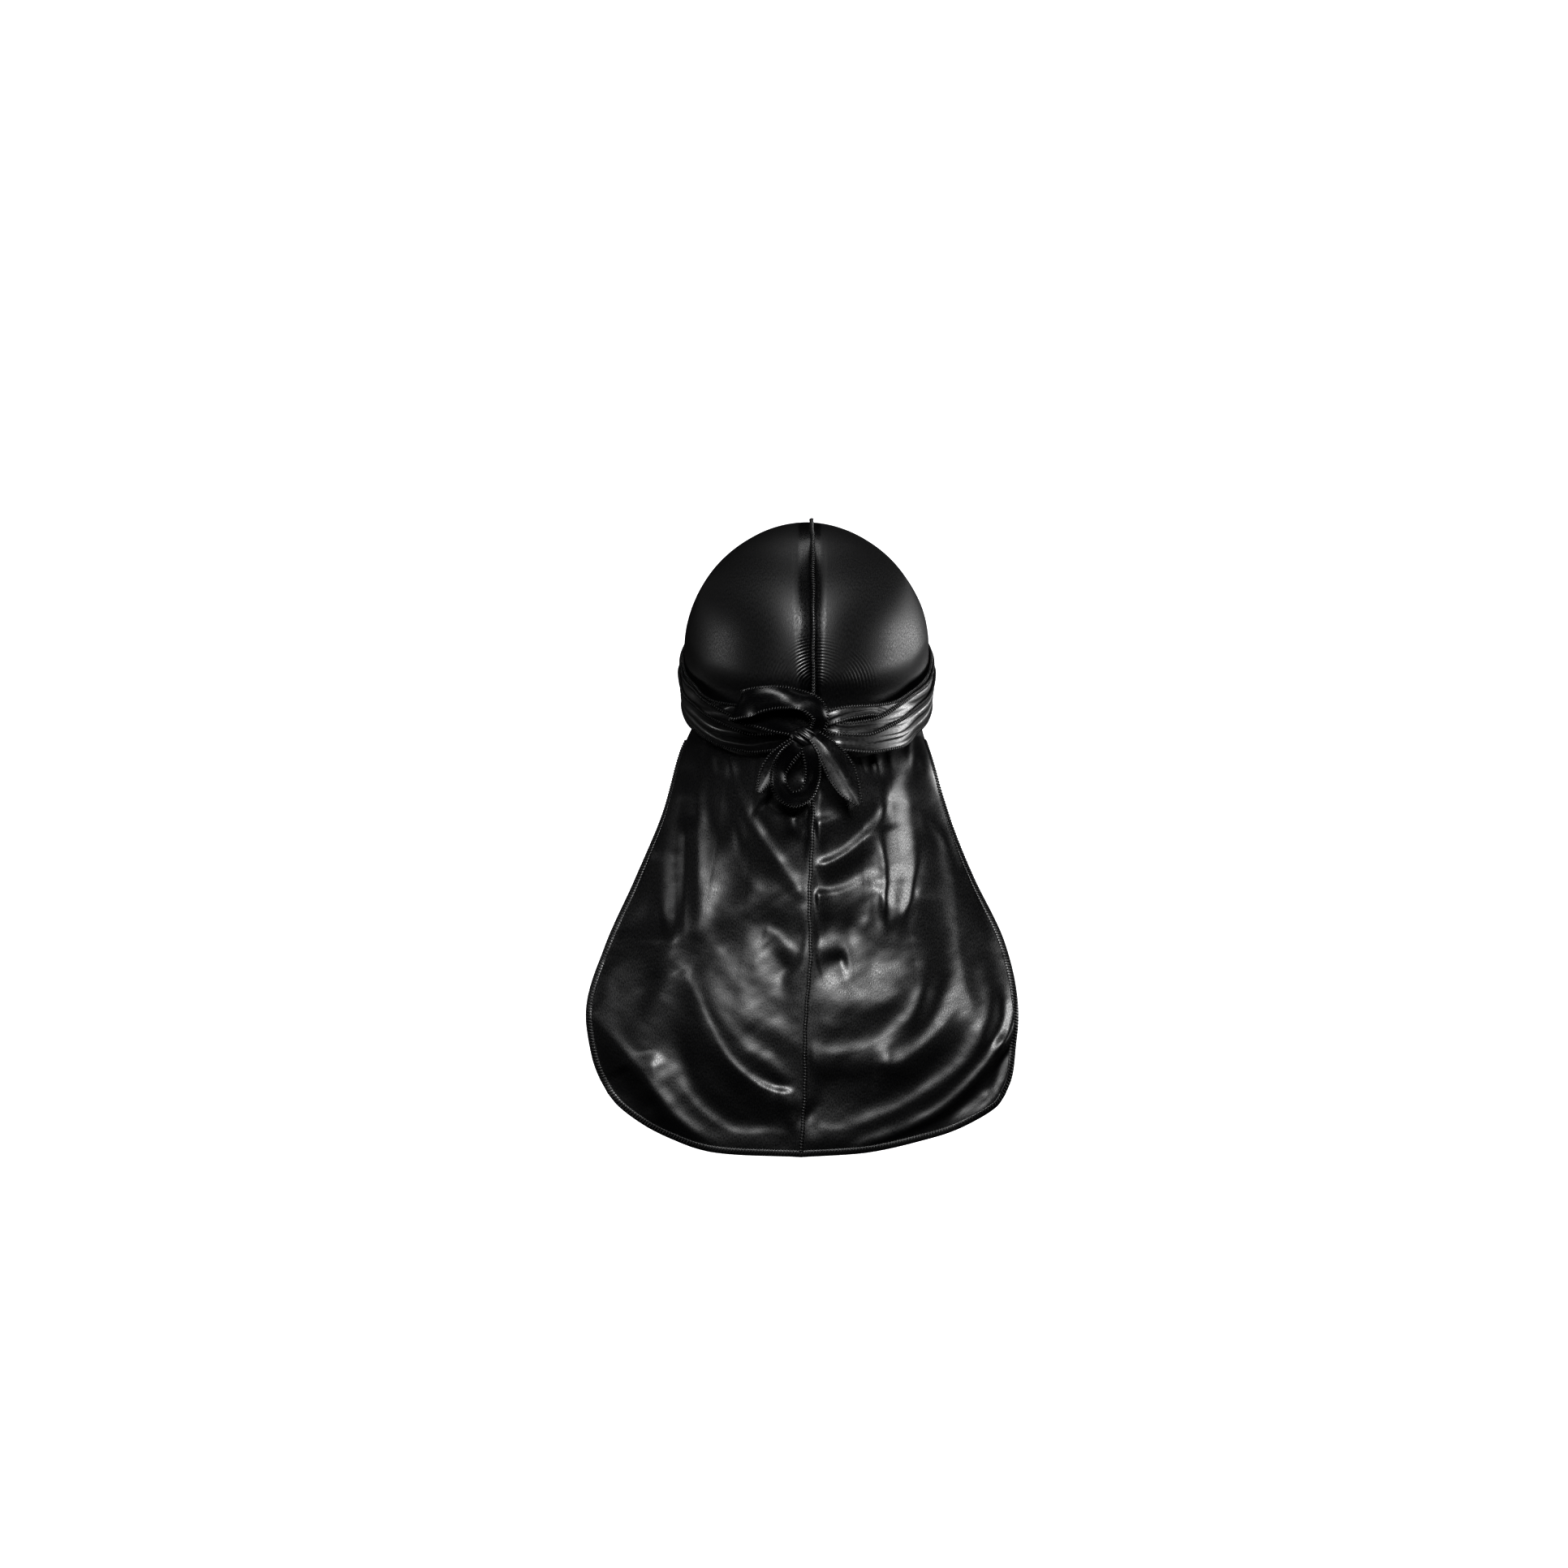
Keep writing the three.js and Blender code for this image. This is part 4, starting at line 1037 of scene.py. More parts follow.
@dataclass
class StitchPath:
    """The places of a row of stitches and the way each one faces."""

    points: np.ndarray
    along: np.ndarray
    outwards: np.ndarray

    @classmethod
    def spaced(cls, line: np.ndarray, outwards: np.ndarray, pitch: float) -> "StitchPath":
        """Spaces stitches evenly along a line.

        Args:
            line: The line's points, in millimetres.
            outwards: The way out of the cloth at each point.
            pitch: The distance from stitch to stitch.

        Returns:
            The row of stitches.
        """
        lengths = np.concatenate([[0.0], np.cumsum(np.linalg.norm(np.diff(line, axis=0), axis=1))])
        count = max(2, int(lengths[-1] / pitch))
        place = (np.arange(count) + 0.5) * lengths[-1] / count
        points = np.stack([np.interp(place, lengths, line[:, k]) for k in range(3)], axis=-1)
        out = unit(np.stack([np.interp(place, lengths, outwards[:, k]) for k in range(3)], axis=-1))
        along = unit(np.gradient(points, axis=0))
        return cls(points, along, out)

    @classmethod
    def joined(cls, rows: Sequence["StitchPath"]) -> "StitchPath":
        """Returns several rows as one."""
        names = ("points", "along", "outwards")
        return cls(*(np.concatenate([getattr(row, name) for row in rows]) for name in names))


@dataclass(frozen=True)
class StitchKind:
    """The sizes of one kind of stitch, in millimetres."""

    width: float
    slant: float
    rise: float
    thread: float


class Overlock:
    """The node tree that lays one loop of thread over an edge at every point of a row."""

    ALONG = "stitch_along"
    OUT = "stitch_out"
    SIDES = 5
    BENDS = 4

    def __init__(self, wardrobe: Wardrobe) -> None:
        """Builds the tree and keeps the wardrobe, which dresses the stitches."""
        self.wardrobe = wardrobe
        self.tree = bpy.data.node_groups.new("overlock_stitches", "GeometryNodeTree")
        face = self.tree.interface
        face.new_socket("Geometry", in_out="INPUT", socket_type="NodeSocketGeometry")
        for name in ("Width", "Slant", "Rise", "Thread"):
            face.new_socket(name, in_out="INPUT", socket_type="NodeSocketFloat")
        face.new_socket("Material", in_out="INPUT", socket_type="NodeSocketMaterial")
        face.new_socket("Geometry", in_out="OUTPUT", socket_type="NodeSocketGeometry")
        self._build()

    def _build(self) -> None:
        """Adds the nodes: a thread loop, laid along each point's own directions."""
        kit = NodeKit(self.tree)
        given, put = kit.add("NodeGroupInput").outputs, kit.add("NodeGroupOutput").inputs
        half, back = (kit.math("MULTIPLY", given["Width"], share) for share in (0.5, -0.5))
        ahead, behind = (kit.math("MULTIPLY", given["Slant"], share) for share in (0.5, -0.5))
        ends = {"Start": {0: behind, 1: back}, "Middle": {2: given["Rise"]}, "End": {0: ahead, 1: half}}
        points = {name: kit.add("ShaderNodeCombineXYZ", at).outputs[0] for name, at in ends.items()}
        loop = kit.add("GeometryNodeCurveQuadraticBezier", {"Resolution": self.BENDS, **points}).outputs[0]
        section = {"Resolution": self.SIDES, "Radius": given["Thread"]}
        ring = kit.add("GeometryNodeCurvePrimitiveCircle", section).outputs[0]
        sweep = {"Curve": loop, "Profile Curve": ring, "Fill Caps": True}
        thread = kit.add("GeometryNodeCurveToMesh", sweep).outputs[0]
        turned: dict[str, bpy.types.NodeSocket] = {}
        for name, axis, pivot in ((self.OUT, "Z", "AUTO"), (self.ALONG, "X", "Z")):
            way = kit.add("GeometryNodeInputNamedAttribute", {"Name": name}, data_type="FLOAT_VECTOR")
            turn = {"Vector": way.outputs["Attribute"], **turned}
            node = kit.add("FunctionNodeAlignRotationToVector", turn, axis=axis, pivot_axis=pivot)
            turned = {"Rotation": node.outputs[0]}
        lay = {"Points": given["Geometry"], "Instance": thread, **turned}
        laid = kit.add("GeometryNodeInstanceOnPoints", lay).outputs[0]
        real = kit.add("GeometryNodeRealizeInstances", {0: laid}).outputs[0]
        smooth = kit.add("GeometryNodeSetShadeSmooth", {0: real}).outputs[0]
        coloured = {"Geometry": smooth, "Material": given["Material"]}
        finish = kit.add("GeometryNodeSetMaterial", coloured).outputs[0]
        self.tree.links.new(finish, put[0])

    def sew(self, name: str, rows: Sequence[StitchPath], kind: StitchKind) -> bpy.types.Object:
        """Makes rows of stitches as one plain mesh and dresses it.

        Args:
            name: The piece's name.
            rows: The stitches' places.
            kind: Their sizes.

        Returns:
            The object.
        """
        row = StitchPath.joined(rows)
        mesh = bpy.data.meshes.new(name + "_places")
        mesh.from_pydata((row.points * MM).tolist(), [], [])
        for label, values in ((self.ALONG, row.along), (self.OUT, row.outwards)):
            layer = mesh.attributes.new(label, "FLOAT_VECTOR", "POINT")
            layer.data.foreach_set("vector", values.astype(np.float32).ravel())
        maker = bpy.data.objects.new(name + "_places", mesh)
        bpy.context.scene.collection.objects.link(maker)
        modifier = maker.modifiers.new("stitches", "NODES")
        modifier.node_group = self.tree
        sizes = {"Width": kind.width, "Slant": kind.slant, "Rise": kind.rise, "Thread": kind.thread}
        for item in self.tree.interface.items_tree:
            if item.in_out == "INPUT" and item.name in sizes:
                modifier[item.identifier] = sizes[item.name] * MM
            if item.in_out == "INPUT" and item.name == "Material":
                modifier[item.identifier] = self.wardrobe.materials[THREAD.name]
        graph = bpy.context.evaluated_depsgraph_get()
        plain = bpy.data.meshes.new_from_object(maker.evaluated_get(graph))
        plain.name = name
        for label in (self.ALONG, self.OUT):
            if label in plain.attributes:
                plain.attributes.remove(plain.attributes[label])
        if "cloth" not in plain.uv_layers:
            plain.uv_layers.new(name="cloth")
        bpy.data.objects.remove(maker)
        made = bpy.data.objects.new(name, plain)
        bpy.context.scene.collection.objects.link(made)
        return self.wardrobe.dress(made, THREAD)


# The cap and the tail


@dataclass
class Cloth:
    """The two panels of cloth that make the cap and the tail, with their seam and hems."""

    form: CapForm
    seam_shift: float = 3.0
    seam_half_gap: float = 0.15
    front_edge: float = -88.0
    gather_margin: float = 2.5
    front_corner: Span = (130.0, -92.0)
    gather_corner: Span = (78.0, -133.0)
    thickness: float = 0.5
    cap_rows: int = 84
    tail_rows: int = 228
    columns: int = 150
    hem_width: float = 4.3
    hem_tuck: float = 1.4
    seam_groove: float = 0.12
    cap_groove: float = 3.6
    cap_groove_reach: dict[Side, float] = field(default_factory=lambda: {Side.RIGHT: 7.0, Side.LEFT: 10.0})
    groove_end: Span = (-34.0, -8.0)
    wrap_top: tuple[Span, ...] = ((0, -127), (28, -121), (53, -112), (75, -99), (90, -88))
    cap_press: float = 5.5
    press_reach: float = 24.0
    fold_growth: Span = (-4.0, 5.0)
    seam_hold: float = 0.5
    seam_band: Span = (0.0, 0.04)
    edge_fade: float = 0.35
    edge_band: Span = (0.9, 1.0)
    foot_fade: float = 0.5
    foot_band: Span = (0.93, 1.0)
    groove_growth: Span = (0.0, 10.0)
    corner_drop: Span = (0.7, 1.0)
    uneven_band: Span = (0.02, 0.2)
    press_start: Span = (-20.0, -2.0)
    press_depth: Span = (5.0, 45.0)
    panel_width: float = 110.0
    cap_width: float = 135.0
    groove_power: float = 1.15
    tail_groove: Span = (2.4, 2.2)
    crumple: Crumple = Crumple(seed=5, waves=22, shortest=7, longest=30, height=0.14)
    unevenness: Crumple = Crumple(seed=9, waves=14, shortest=26, longest=90, height=0.35)
    wrap_foot: tuple[Span, ...] = (
        (0, -151),
        (23, -151.6),
        (39, -148),
        (53, -141.5),
        (75, -131),
        (90, -120),
    )
    seam_line: tuple[tuple[float, float, float], ...] = (
        (3, -93.5, -165),
        (3, -100, -200),
        (1, -108, -240),
        (1.5, -114, -280),
        (-1.7, -119, -320),
        (-2, -122, -360),
        (-4.5, -124, -403),
    )
    side_lines: dict[Side, tuple[tuple[float, float, float], ...]] = field(
        default_factory=lambda: {
            Side.RIGHT: (
                (79, -28, -150),
                (93, -45, -197),
                (106, -60, -230),
                (125, -78, -271),
                (132.5, -87, -306),
                (131, -91, -340),
                (128.5, -92.5, -356),
                (124, -94.5, -367),
            ),
            Side.LEFT: (
                (-82, -28, -150),
                (-93, -45, -190),
                (-110, -60, -231),
                (-128, -78, -272),
                (-140, -87, -311),
                (-137, -91, -340),
                (-132.5, -92.5, -354),
                (-126, -95, -366),
            ),
        }
    )
    foot_lines: dict[Side, tuple[tuple[float, float, float], ...]] = field(
        default_factory=lambda: {
            Side.RIGHT: ((118.5, -96.5, -374), (94, -104, -387.5), (69, -112, -394.5), (38, -119, -400.5)),
            Side.LEFT: (
                (-119.5, -97, -373.5),
                (-104, -102, -384.5),
                (-84.5, -109, -393.5),
                (-61, -116, -400.5),
            ),
        }
    )

    def __post_init__(self) -> None:
        """Draws the tail's border lines."""
        self.lines = {}
        for side in Side:
            gathers = self.gather_line(side, np.array([0.0, 1.0]))
            corner = self.side_lines[side][-1]
            self.lines[side] = {
                "seam": Line([gathers[0], *self.seam_line]),
                "side": Line([gathers[1], *self.side_lines[side]]),
                "foot": Line([corner, *self.foot_lines[side], self.seam_line[-1]]),
            }

    def gather_line(self, side: Side, u: np.ndarray) -> np.ndarray:
        """Returns the line just under the straps where the cap becomes the tail.

        Args:
            side: Which panel.
            u: Shares across from the seam.

        Returns:
            The points.
        """
        start = math.degrees(math.asin(self.seam_shift / self.form.back)) * side.value
        angle = start + (self.gather_corner[0] - start) * u
        angles, heights = zip(*self.wrap_foot)
        under = np.interp(np.abs(angle), angles, heights) - self.gather_margin
        height = under + (self.gather_corner[1] - under) * smoothstep(u, *self.corner_drop)
        return self.form.at_band(side.value * angle, height, np.zeros_like(height))

    def middle(self, v: np.ndarray) -> np.ndarray:
        """Returns directions to the seam on the cap, at shares from the front edge to the gathers."""
        at = np.array([180.0, 0.0])
        heights = np.array([self.front_edge, self.wrap_foot[0][1] - self.gather_margin])
        ends = self.form.at_band(at, heights, np.zeros(2)) - self.form.centre
        start = math.atan2(ends[0][2], ends[0][1])
        end = math.atan2(ends[1][2], ends[1][1]) + 2 * math.pi
        angle = start + (end - start) * v
        aside = np.full_like(angle, self.seam_shift / self.form.rise)
        return unit(np.stack([aside, np.cos(angle), np.sin(angle)], axis=-1))

    def cap(self, side: Side, u: np.ndarray, v: np.ndarray) -> np.ndarray:
        """Returns points of the cap.

        Args:
            side: Which panel.
            u: Shares across from the seam, as a row.
            v: Shares back from the front edge, as a column.

        Returns:
            The points, one for each pair.
        """
        angle = self.front_corner[0] + (self.gather_corner[0] - self.front_corner[0]) * v
        height = self.front_corner[1] + (self.gather_corner[1] - self.front_corner[1]) * v
        edge = unit(self.form.at_band(side.value * angle, height, np.zeros_like(height)) - self.form.centre)
        middle = self.middle(v)
        turn = np.arccos(np.clip((middle * edge).sum(axis=-1), -1, 1))[:, None]
        near = np.sin((1 - u[None, :]) * turn) / np.sin(turn)
        far = np.sin(u[None, :] * turn) / np.sin(turn)
        direction = middle[:, None] * near[..., None] + edge[:, None] * far[..., None]
        gathers = unit(self.gather_line(side, u) - self.form.centre)
        direction = direction + (gathers - direction[-1])[None] * (v[:, None, None] ** 3)
        return self.form.from_direction(direction)

    def plain_tail(self, side: Side, u: np.ndarray, v: np.ndarray) -> np.ndarray:
        """Returns points of the tail before its folds, for matching grids of shares u and v."""
        lines = self.lines[side]
        top, bottom = self.gather_line(side, u), lines["foot"].at(1 - u)
        inner, outer = lines["seam"].at(v), lines["side"].at(v)
        corner = self.gather_line(side, np.array([0.0, 1.0]))
        foot = lines["foot"].at(np.array([1.0, 0.0]))
        u, v = u[..., None], v[..., None]
        point = top * (1 - v) + bottom * v + inner * (1 - u) + outer * u
        point = point - corner[0] * (1 - u) * (1 - v) - corner[1] * u * (1 - v)
        return point - foot[0] * (1 - u) * v - foot[1] * u * v

    def folded_tail(self, side: Side, u: np.ndarray, v: np.ndarray) -> np.ndarray:
        """Returns points of the tail with its folds, for matching grids of shares u and v."""
        point = self.plain_tail(side, u, v)
        below = self.gather_line(side, u)[..., 2] - point[..., 2]
        x, z = point[..., 0], point[..., 2]
        height = sum(shape.rise(x, z) for shape in FOLDS + SWELLS)
        height = height + self.crumple.at(x, z)
        height = height * smoothstep(below, *self.fold_growth)
        height = height * (self.seam_hold + (1 - self.seam_hold) * smoothstep(u, *self.seam_band))
        height = height * (1 - self.edge_fade * smoothstep(u, *self.edge_band))
        height = height * (1 - self.foot_fade * smoothstep(v, *self.foot_band))
        middle, spread = self.tail_groove
        groove = self.seam_groove * np.exp(-(((u * self.panel_width - middle) / spread) ** 2))
        height = height - groove * smoothstep(below, *self.groove_growth)
        return point - np.array([0.0, 1.0, 0.0]) * height[..., None]

    def take(self, side: Side, v: np.ndarray, width: float) -> tuple[np.ndarray, float]:
        """Returns the shares across and down that a strip of a width takes at the border."""
        lines = self.lines[side]
        wide = np.linalg.norm(lines["seam"].at(v) - lines["side"].at(v), axis=-1)
        return width / wide, width / lines["seam"].length

    def panel_grid(self, side: Side) -> np.ndarray:
        """Returns the middle points of one panel, from the front edge to the tail's hem."""
        u = np.linspace(0, 1, self.columns + 1)
        cap = self.cap(side, u, np.linspace(0, 1, self.cap_rows, endpoint=False))
        normal = self.form.outwards(cap, grid_normals(cap))
        aside = u * self.cap_width / self.cap_groove_reach[side]
        dent = -self.cap_groove * np.clip(1 - aside, 0, 1) ** self.groove_power
        x, y, z = cap[..., 0], cap[..., 1], cap[..., 2]
        soft = self.unevenness.at(x + 0.6 * y, z + 0.3 * y)
        angles, tops = zip(*self.wrap_top)
        above = z - np.interp(np.degrees(np.arctan2(np.abs(x), -y)), angles, tops)
        pressed = -self.cap_press * (1 - smoothstep(above, 0, self.press_reach))
        pressed = pressed * smoothstep(above, *self.press_start)
        shallow = 1 - smoothstep(z[:, :1], *self.groove_end)
        uneven = soft * smoothstep(u, *self.uneven_band)[None, :]
        total = dent[None, :] * shallow + uneven + pressed * smoothstep(-y, *self.press_depth)
        cap = cap + normal * total[..., None]
        v = np.linspace(0, 1, self.tail_rows + 1)
        width = self.hem_width - self.hem_tuck
        across, down = self.take(side, v, width)
        inset = 1 - across * smoothstep(v, 0, 0.06)
        uu = u[None, :] * inset[:, None]
        vv = (v * (1 - down))[:, None] * np.ones_like(uu)
        grid = np.concatenate([cap, self.folded_tail(side, uu, vv)])
        grid[..., 0] += side.value * self.seam_half_gap
        return grid

    def hem_rails(self, side: Side, width: float) -> tuple[np.ndarray, np.ndarray]:
        """Returns the tail's outer border and a line a width inside it, from gathers to middle."""
        v = np.linspace(0.055, 1, 300)
        across, down = self.take(side, v, width)
        outer = self.folded_tail(side, np.ones_like(v), v)
        inner = self.folded_tail(side, 1 - across, v * (1 - down))
        u = np.linspace(1, 0, 240)[1:]
        foot_across, _ = self.take(side, np.ones_like(u), width)
        foot_outer = self.folded_tail(side, u, np.ones_like(u))
        foot_inner = self.folded_tail(side, u * (1 - foot_across), np.full_like(u, 1 - down))
        outer = np.concatenate([outer, foot_outer])
        inner = np.concatenate([inner, foot_inner])
        return outer, inner

    def hem_frame(self) -> tuple[np.ndarray, np.ndarray, np.ndarray]:
        """Returns the whole hem's outer line, its inward directions and its outward ones."""
        right, right_in = self.hem_rails(Side.RIGHT, self.hem_width)
        left, left_in = self.hem_rails(Side.LEFT, self.hem_width)
        edge = np.concatenate([left, right[::-1][1:]])
        inside = np.concatenate([left_in, right_in[::-1][1:]])
        along = unit(np.gradient(edge, axis=0))
        inwards = inside - edge
        inwards = unit(inwards - along * (inwards * along).sum(axis=-1, keepdims=True))
        out = unit(np.cross(along, inwards))
        out = np.where(out[:, 1:2] > 0, -out, out)
        return edge, inwards, out


@dataclass
class CapAndTail:
    """Builds the panels, the raised seam, the hems and their stitching."""

    cloth: Cloth
    wardrobe: Wardrobe
    overlock: Overlock
    hem_thickness: float = 1.5
    hem_stitch_rise: float = 0.32
    hem_stitch_inset: float = 0.25
    hem_stitch: StitchKind = StitchKind(width=3.7, slant=1.1, rise=1.3, thread=0.5)
    seam_stitch: StitchKind = StitchKind(width=2.2, slant=0.7, rise=1.0, thread=0.46)
    pitch: float = 1.9
    cap_seam: Span = (1.8, 2.6)
    wrapped_seam: Span = (2.6, 1.1)
    tail_seam: Span = (1.7, 1.5)
    cap_foot: float = -140.0
    front_drop: float = 1.3
    front_roll: Span = (1.9, 0.75)
    front_stitch_rise: float = 0.45
    front_stitch: StitchKind = StitchKind(width=3.0, slant=1.3, rise=0.9, thread=0.3)
    stations: int = 420
    bare_from: Span = (0.17, 0.2)
    bare_to: Span = (0.9, 0.93)
    tail_seam_growth: Span = (0.02, 0.06)
    fin_sink: float = 0.1
    seam_stitch_sink: float = 0.35
    wavers: tuple[Span, ...] = ((0.16, 0.21), (0.1, 0.083))
    crown_stitches: tuple[int, int] = (90, 388)
    tail_stitches: tuple[int, Optional[int]] = (440, None)

    def build(self) -> list[bpy.types.Object]:
        """Builds every piece of the cap and tail.

        Returns:
            The two panels.
        """
        panels = []
        for side, name in ((Side.RIGHT, "panel_right"), (Side.LEFT, "panel_left")):
            grid = self.cloth.panel_grid(side)
            piece = thin_wall("cloth_" + name, grid, self.cloth.thickness)
            self.wardrobe.dress(piece, SATIN, [name])
            self.stretch(piece)
            panels.append(piece)
        self.hem()
        self.front_edge()
        self.seam()
        return panels

    def stretch(self, piece: bpy.types.Object) -> None:
        """Gives the cap's part of a panel the look of cloth pulled tight."""
        piece.data.materials.append(self.wardrobe.materials[CAP_SATIN.name])
        middles = np.zeros(len(piece.data.polygons) * 3)
        piece.data.polygons.foreach_get("center", middles)
        on_cap = middles[2::3] > self.cap_foot * MM
        piece.data.polygons.foreach_set("material_index", on_cap.astype(np.int32))

    def hem(self) -> None:
        """Builds the tail's overlocked hem."""
        edge, inwards, out = self.cloth.hem_frame()
        width = self.cloth.hem_width
        middle = edge + inwards * (width * 0.5)
        wide = np.full(len(edge), width / 2)
        tall = np.full(len(edge), self.hem_thickness / 2)
        roll = swept_tube("hem_roll", middle, inwards, out, wide, tall)
        self.wardrobe.dress(roll, THREAD, ["tail_hem"])
        rise = self.hem_thickness * self.hem_stitch_rise
        base = middle + out * rise + inwards * self.hem_stitch_inset
        under = middle - out * rise + inwards * self.hem_stitch_inset
        rows = [StitchPath.spaced(base, out, self.pitch), StitchPath.spaced(under, -out, self.pitch)]
        self.overlock.sew("hem_stitches", rows, self.hem_stitch)

    def front_edge(self) -> None:
        """Builds the plain hem at the front edge."""
        u = np.linspace(0, 0.97, 120)
        v = np.array([0.0])
        left = self.cloth.cap(Side.LEFT, u, v)[0][::-1]
        right = self.cloth.cap(Side.RIGHT, u, v)[0][1:]
        edge = np.concatenate([left, right])
        down = np.tile([0.0, 0.0, -1.0], (len(edge), 1))
        along = unit(np.gradient(edge, axis=0))
        out = self.cloth.form.outwards(edge, unit(np.cross(along, down)))
        middle = edge + down * self.front_drop
        wide, tall = (np.full(len(edge), half) for half in self.front_roll)
        roll = swept_tube("front_roll", middle, down, out, wide, tall)
        self.wardrobe.dress(roll, THREAD, ["front_hem"])
        row = StitchPath.spaced(middle + out * self.front_stitch_rise, out, self.pitch)
        self.overlock.sew("front_stitches", [row], self.front_stitch)

    def seam_stations(self) -> tuple[np.ndarray, np.ndarray, np.ndarray]:
        """Returns the seam's line on the cloth, its widths and its heights, front edge to hem."""
        v = np.linspace(0, 1, self.stations)
        cap = self.cloth.form.from_direction(self.cloth.middle(v))
        open_cap = smoothstep(v, *self.bare_from) * (1 - smoothstep(v, *self.bare_to))
        width = self.wrapped_seam[0] + (self.cap_seam[0] - self.wrapped_seam[0]) * open_cap
        height = self.wrapped_seam[1] + (self.cap_seam[1] - self.wrapped_seam[1]) * open_cap
        _, down = self.cloth.take(Side.RIGHT, np.array([1.0]), self.cloth.hem_width - 1.0)
        w = np.linspace(0, 1 - down, self.stations)[1:]
        tail = self.cloth.folded_tail(Side.RIGHT, np.zeros_like(w), w)
        grown = smoothstep(w, *self.tail_seam_growth)
        tail_width = self.wrapped_seam[0] + (self.tail_seam[0] - self.wrapped_seam[0]) * grown
        tail_height = self.wrapped_seam[1] + (self.tail_seam[1] - self.wrapped_seam[1]) * grown
        line = np.concatenate([cap, tail])
        return line, np.concatenate([width, tail_width]), np.concatenate([height, tail_height])

    def seam(self) -> None:
        """Builds the raised seam and its loops of thread."""
        line, width, height = self.seam_stations()
        sideways = np.tile([1.0, 0.0, 0.0], (len(line), 1))
        along = unit(np.gradient(line, axis=0))
        out = self.cloth.form.outwards(line, unit(np.cross(along, sideways)))
        across = unit(np.cross(out, along))
        shallow = 1 - smoothstep(line[:, 2], *self.cloth.groove_end)
        sunk = np.where(np.arange(len(line)) < self.stations, self.cloth.cap_groove, 0.0) * shallow
        height = height + sunk
        middle = line + out * (height / 2 - self.fin_sink - sunk)[:, None]
        waver = sum(far * np.sin(np.arange(len(line)) * turn) for far, turn in self.wavers)
        middle = middle + across * waver[:, None]
        fin = swept_tube("seam_fin", middle, across, out, width / 2, height / 2, power=1.3)
        self.wardrobe.dress(fin, THREAD, ["centre_seam"])
        top = middle + out * (height / 2 - self.seam_stitch_sink)[:, None]
        parts = (slice(*self.crown_stitches), slice(*self.tail_stitches))
        rows = [StitchPath.spaced(top[part], out[part], self.pitch) for part in parts]
        self.overlock.sew("seam_stitches", rows, self.seam_stitch)


# The straps


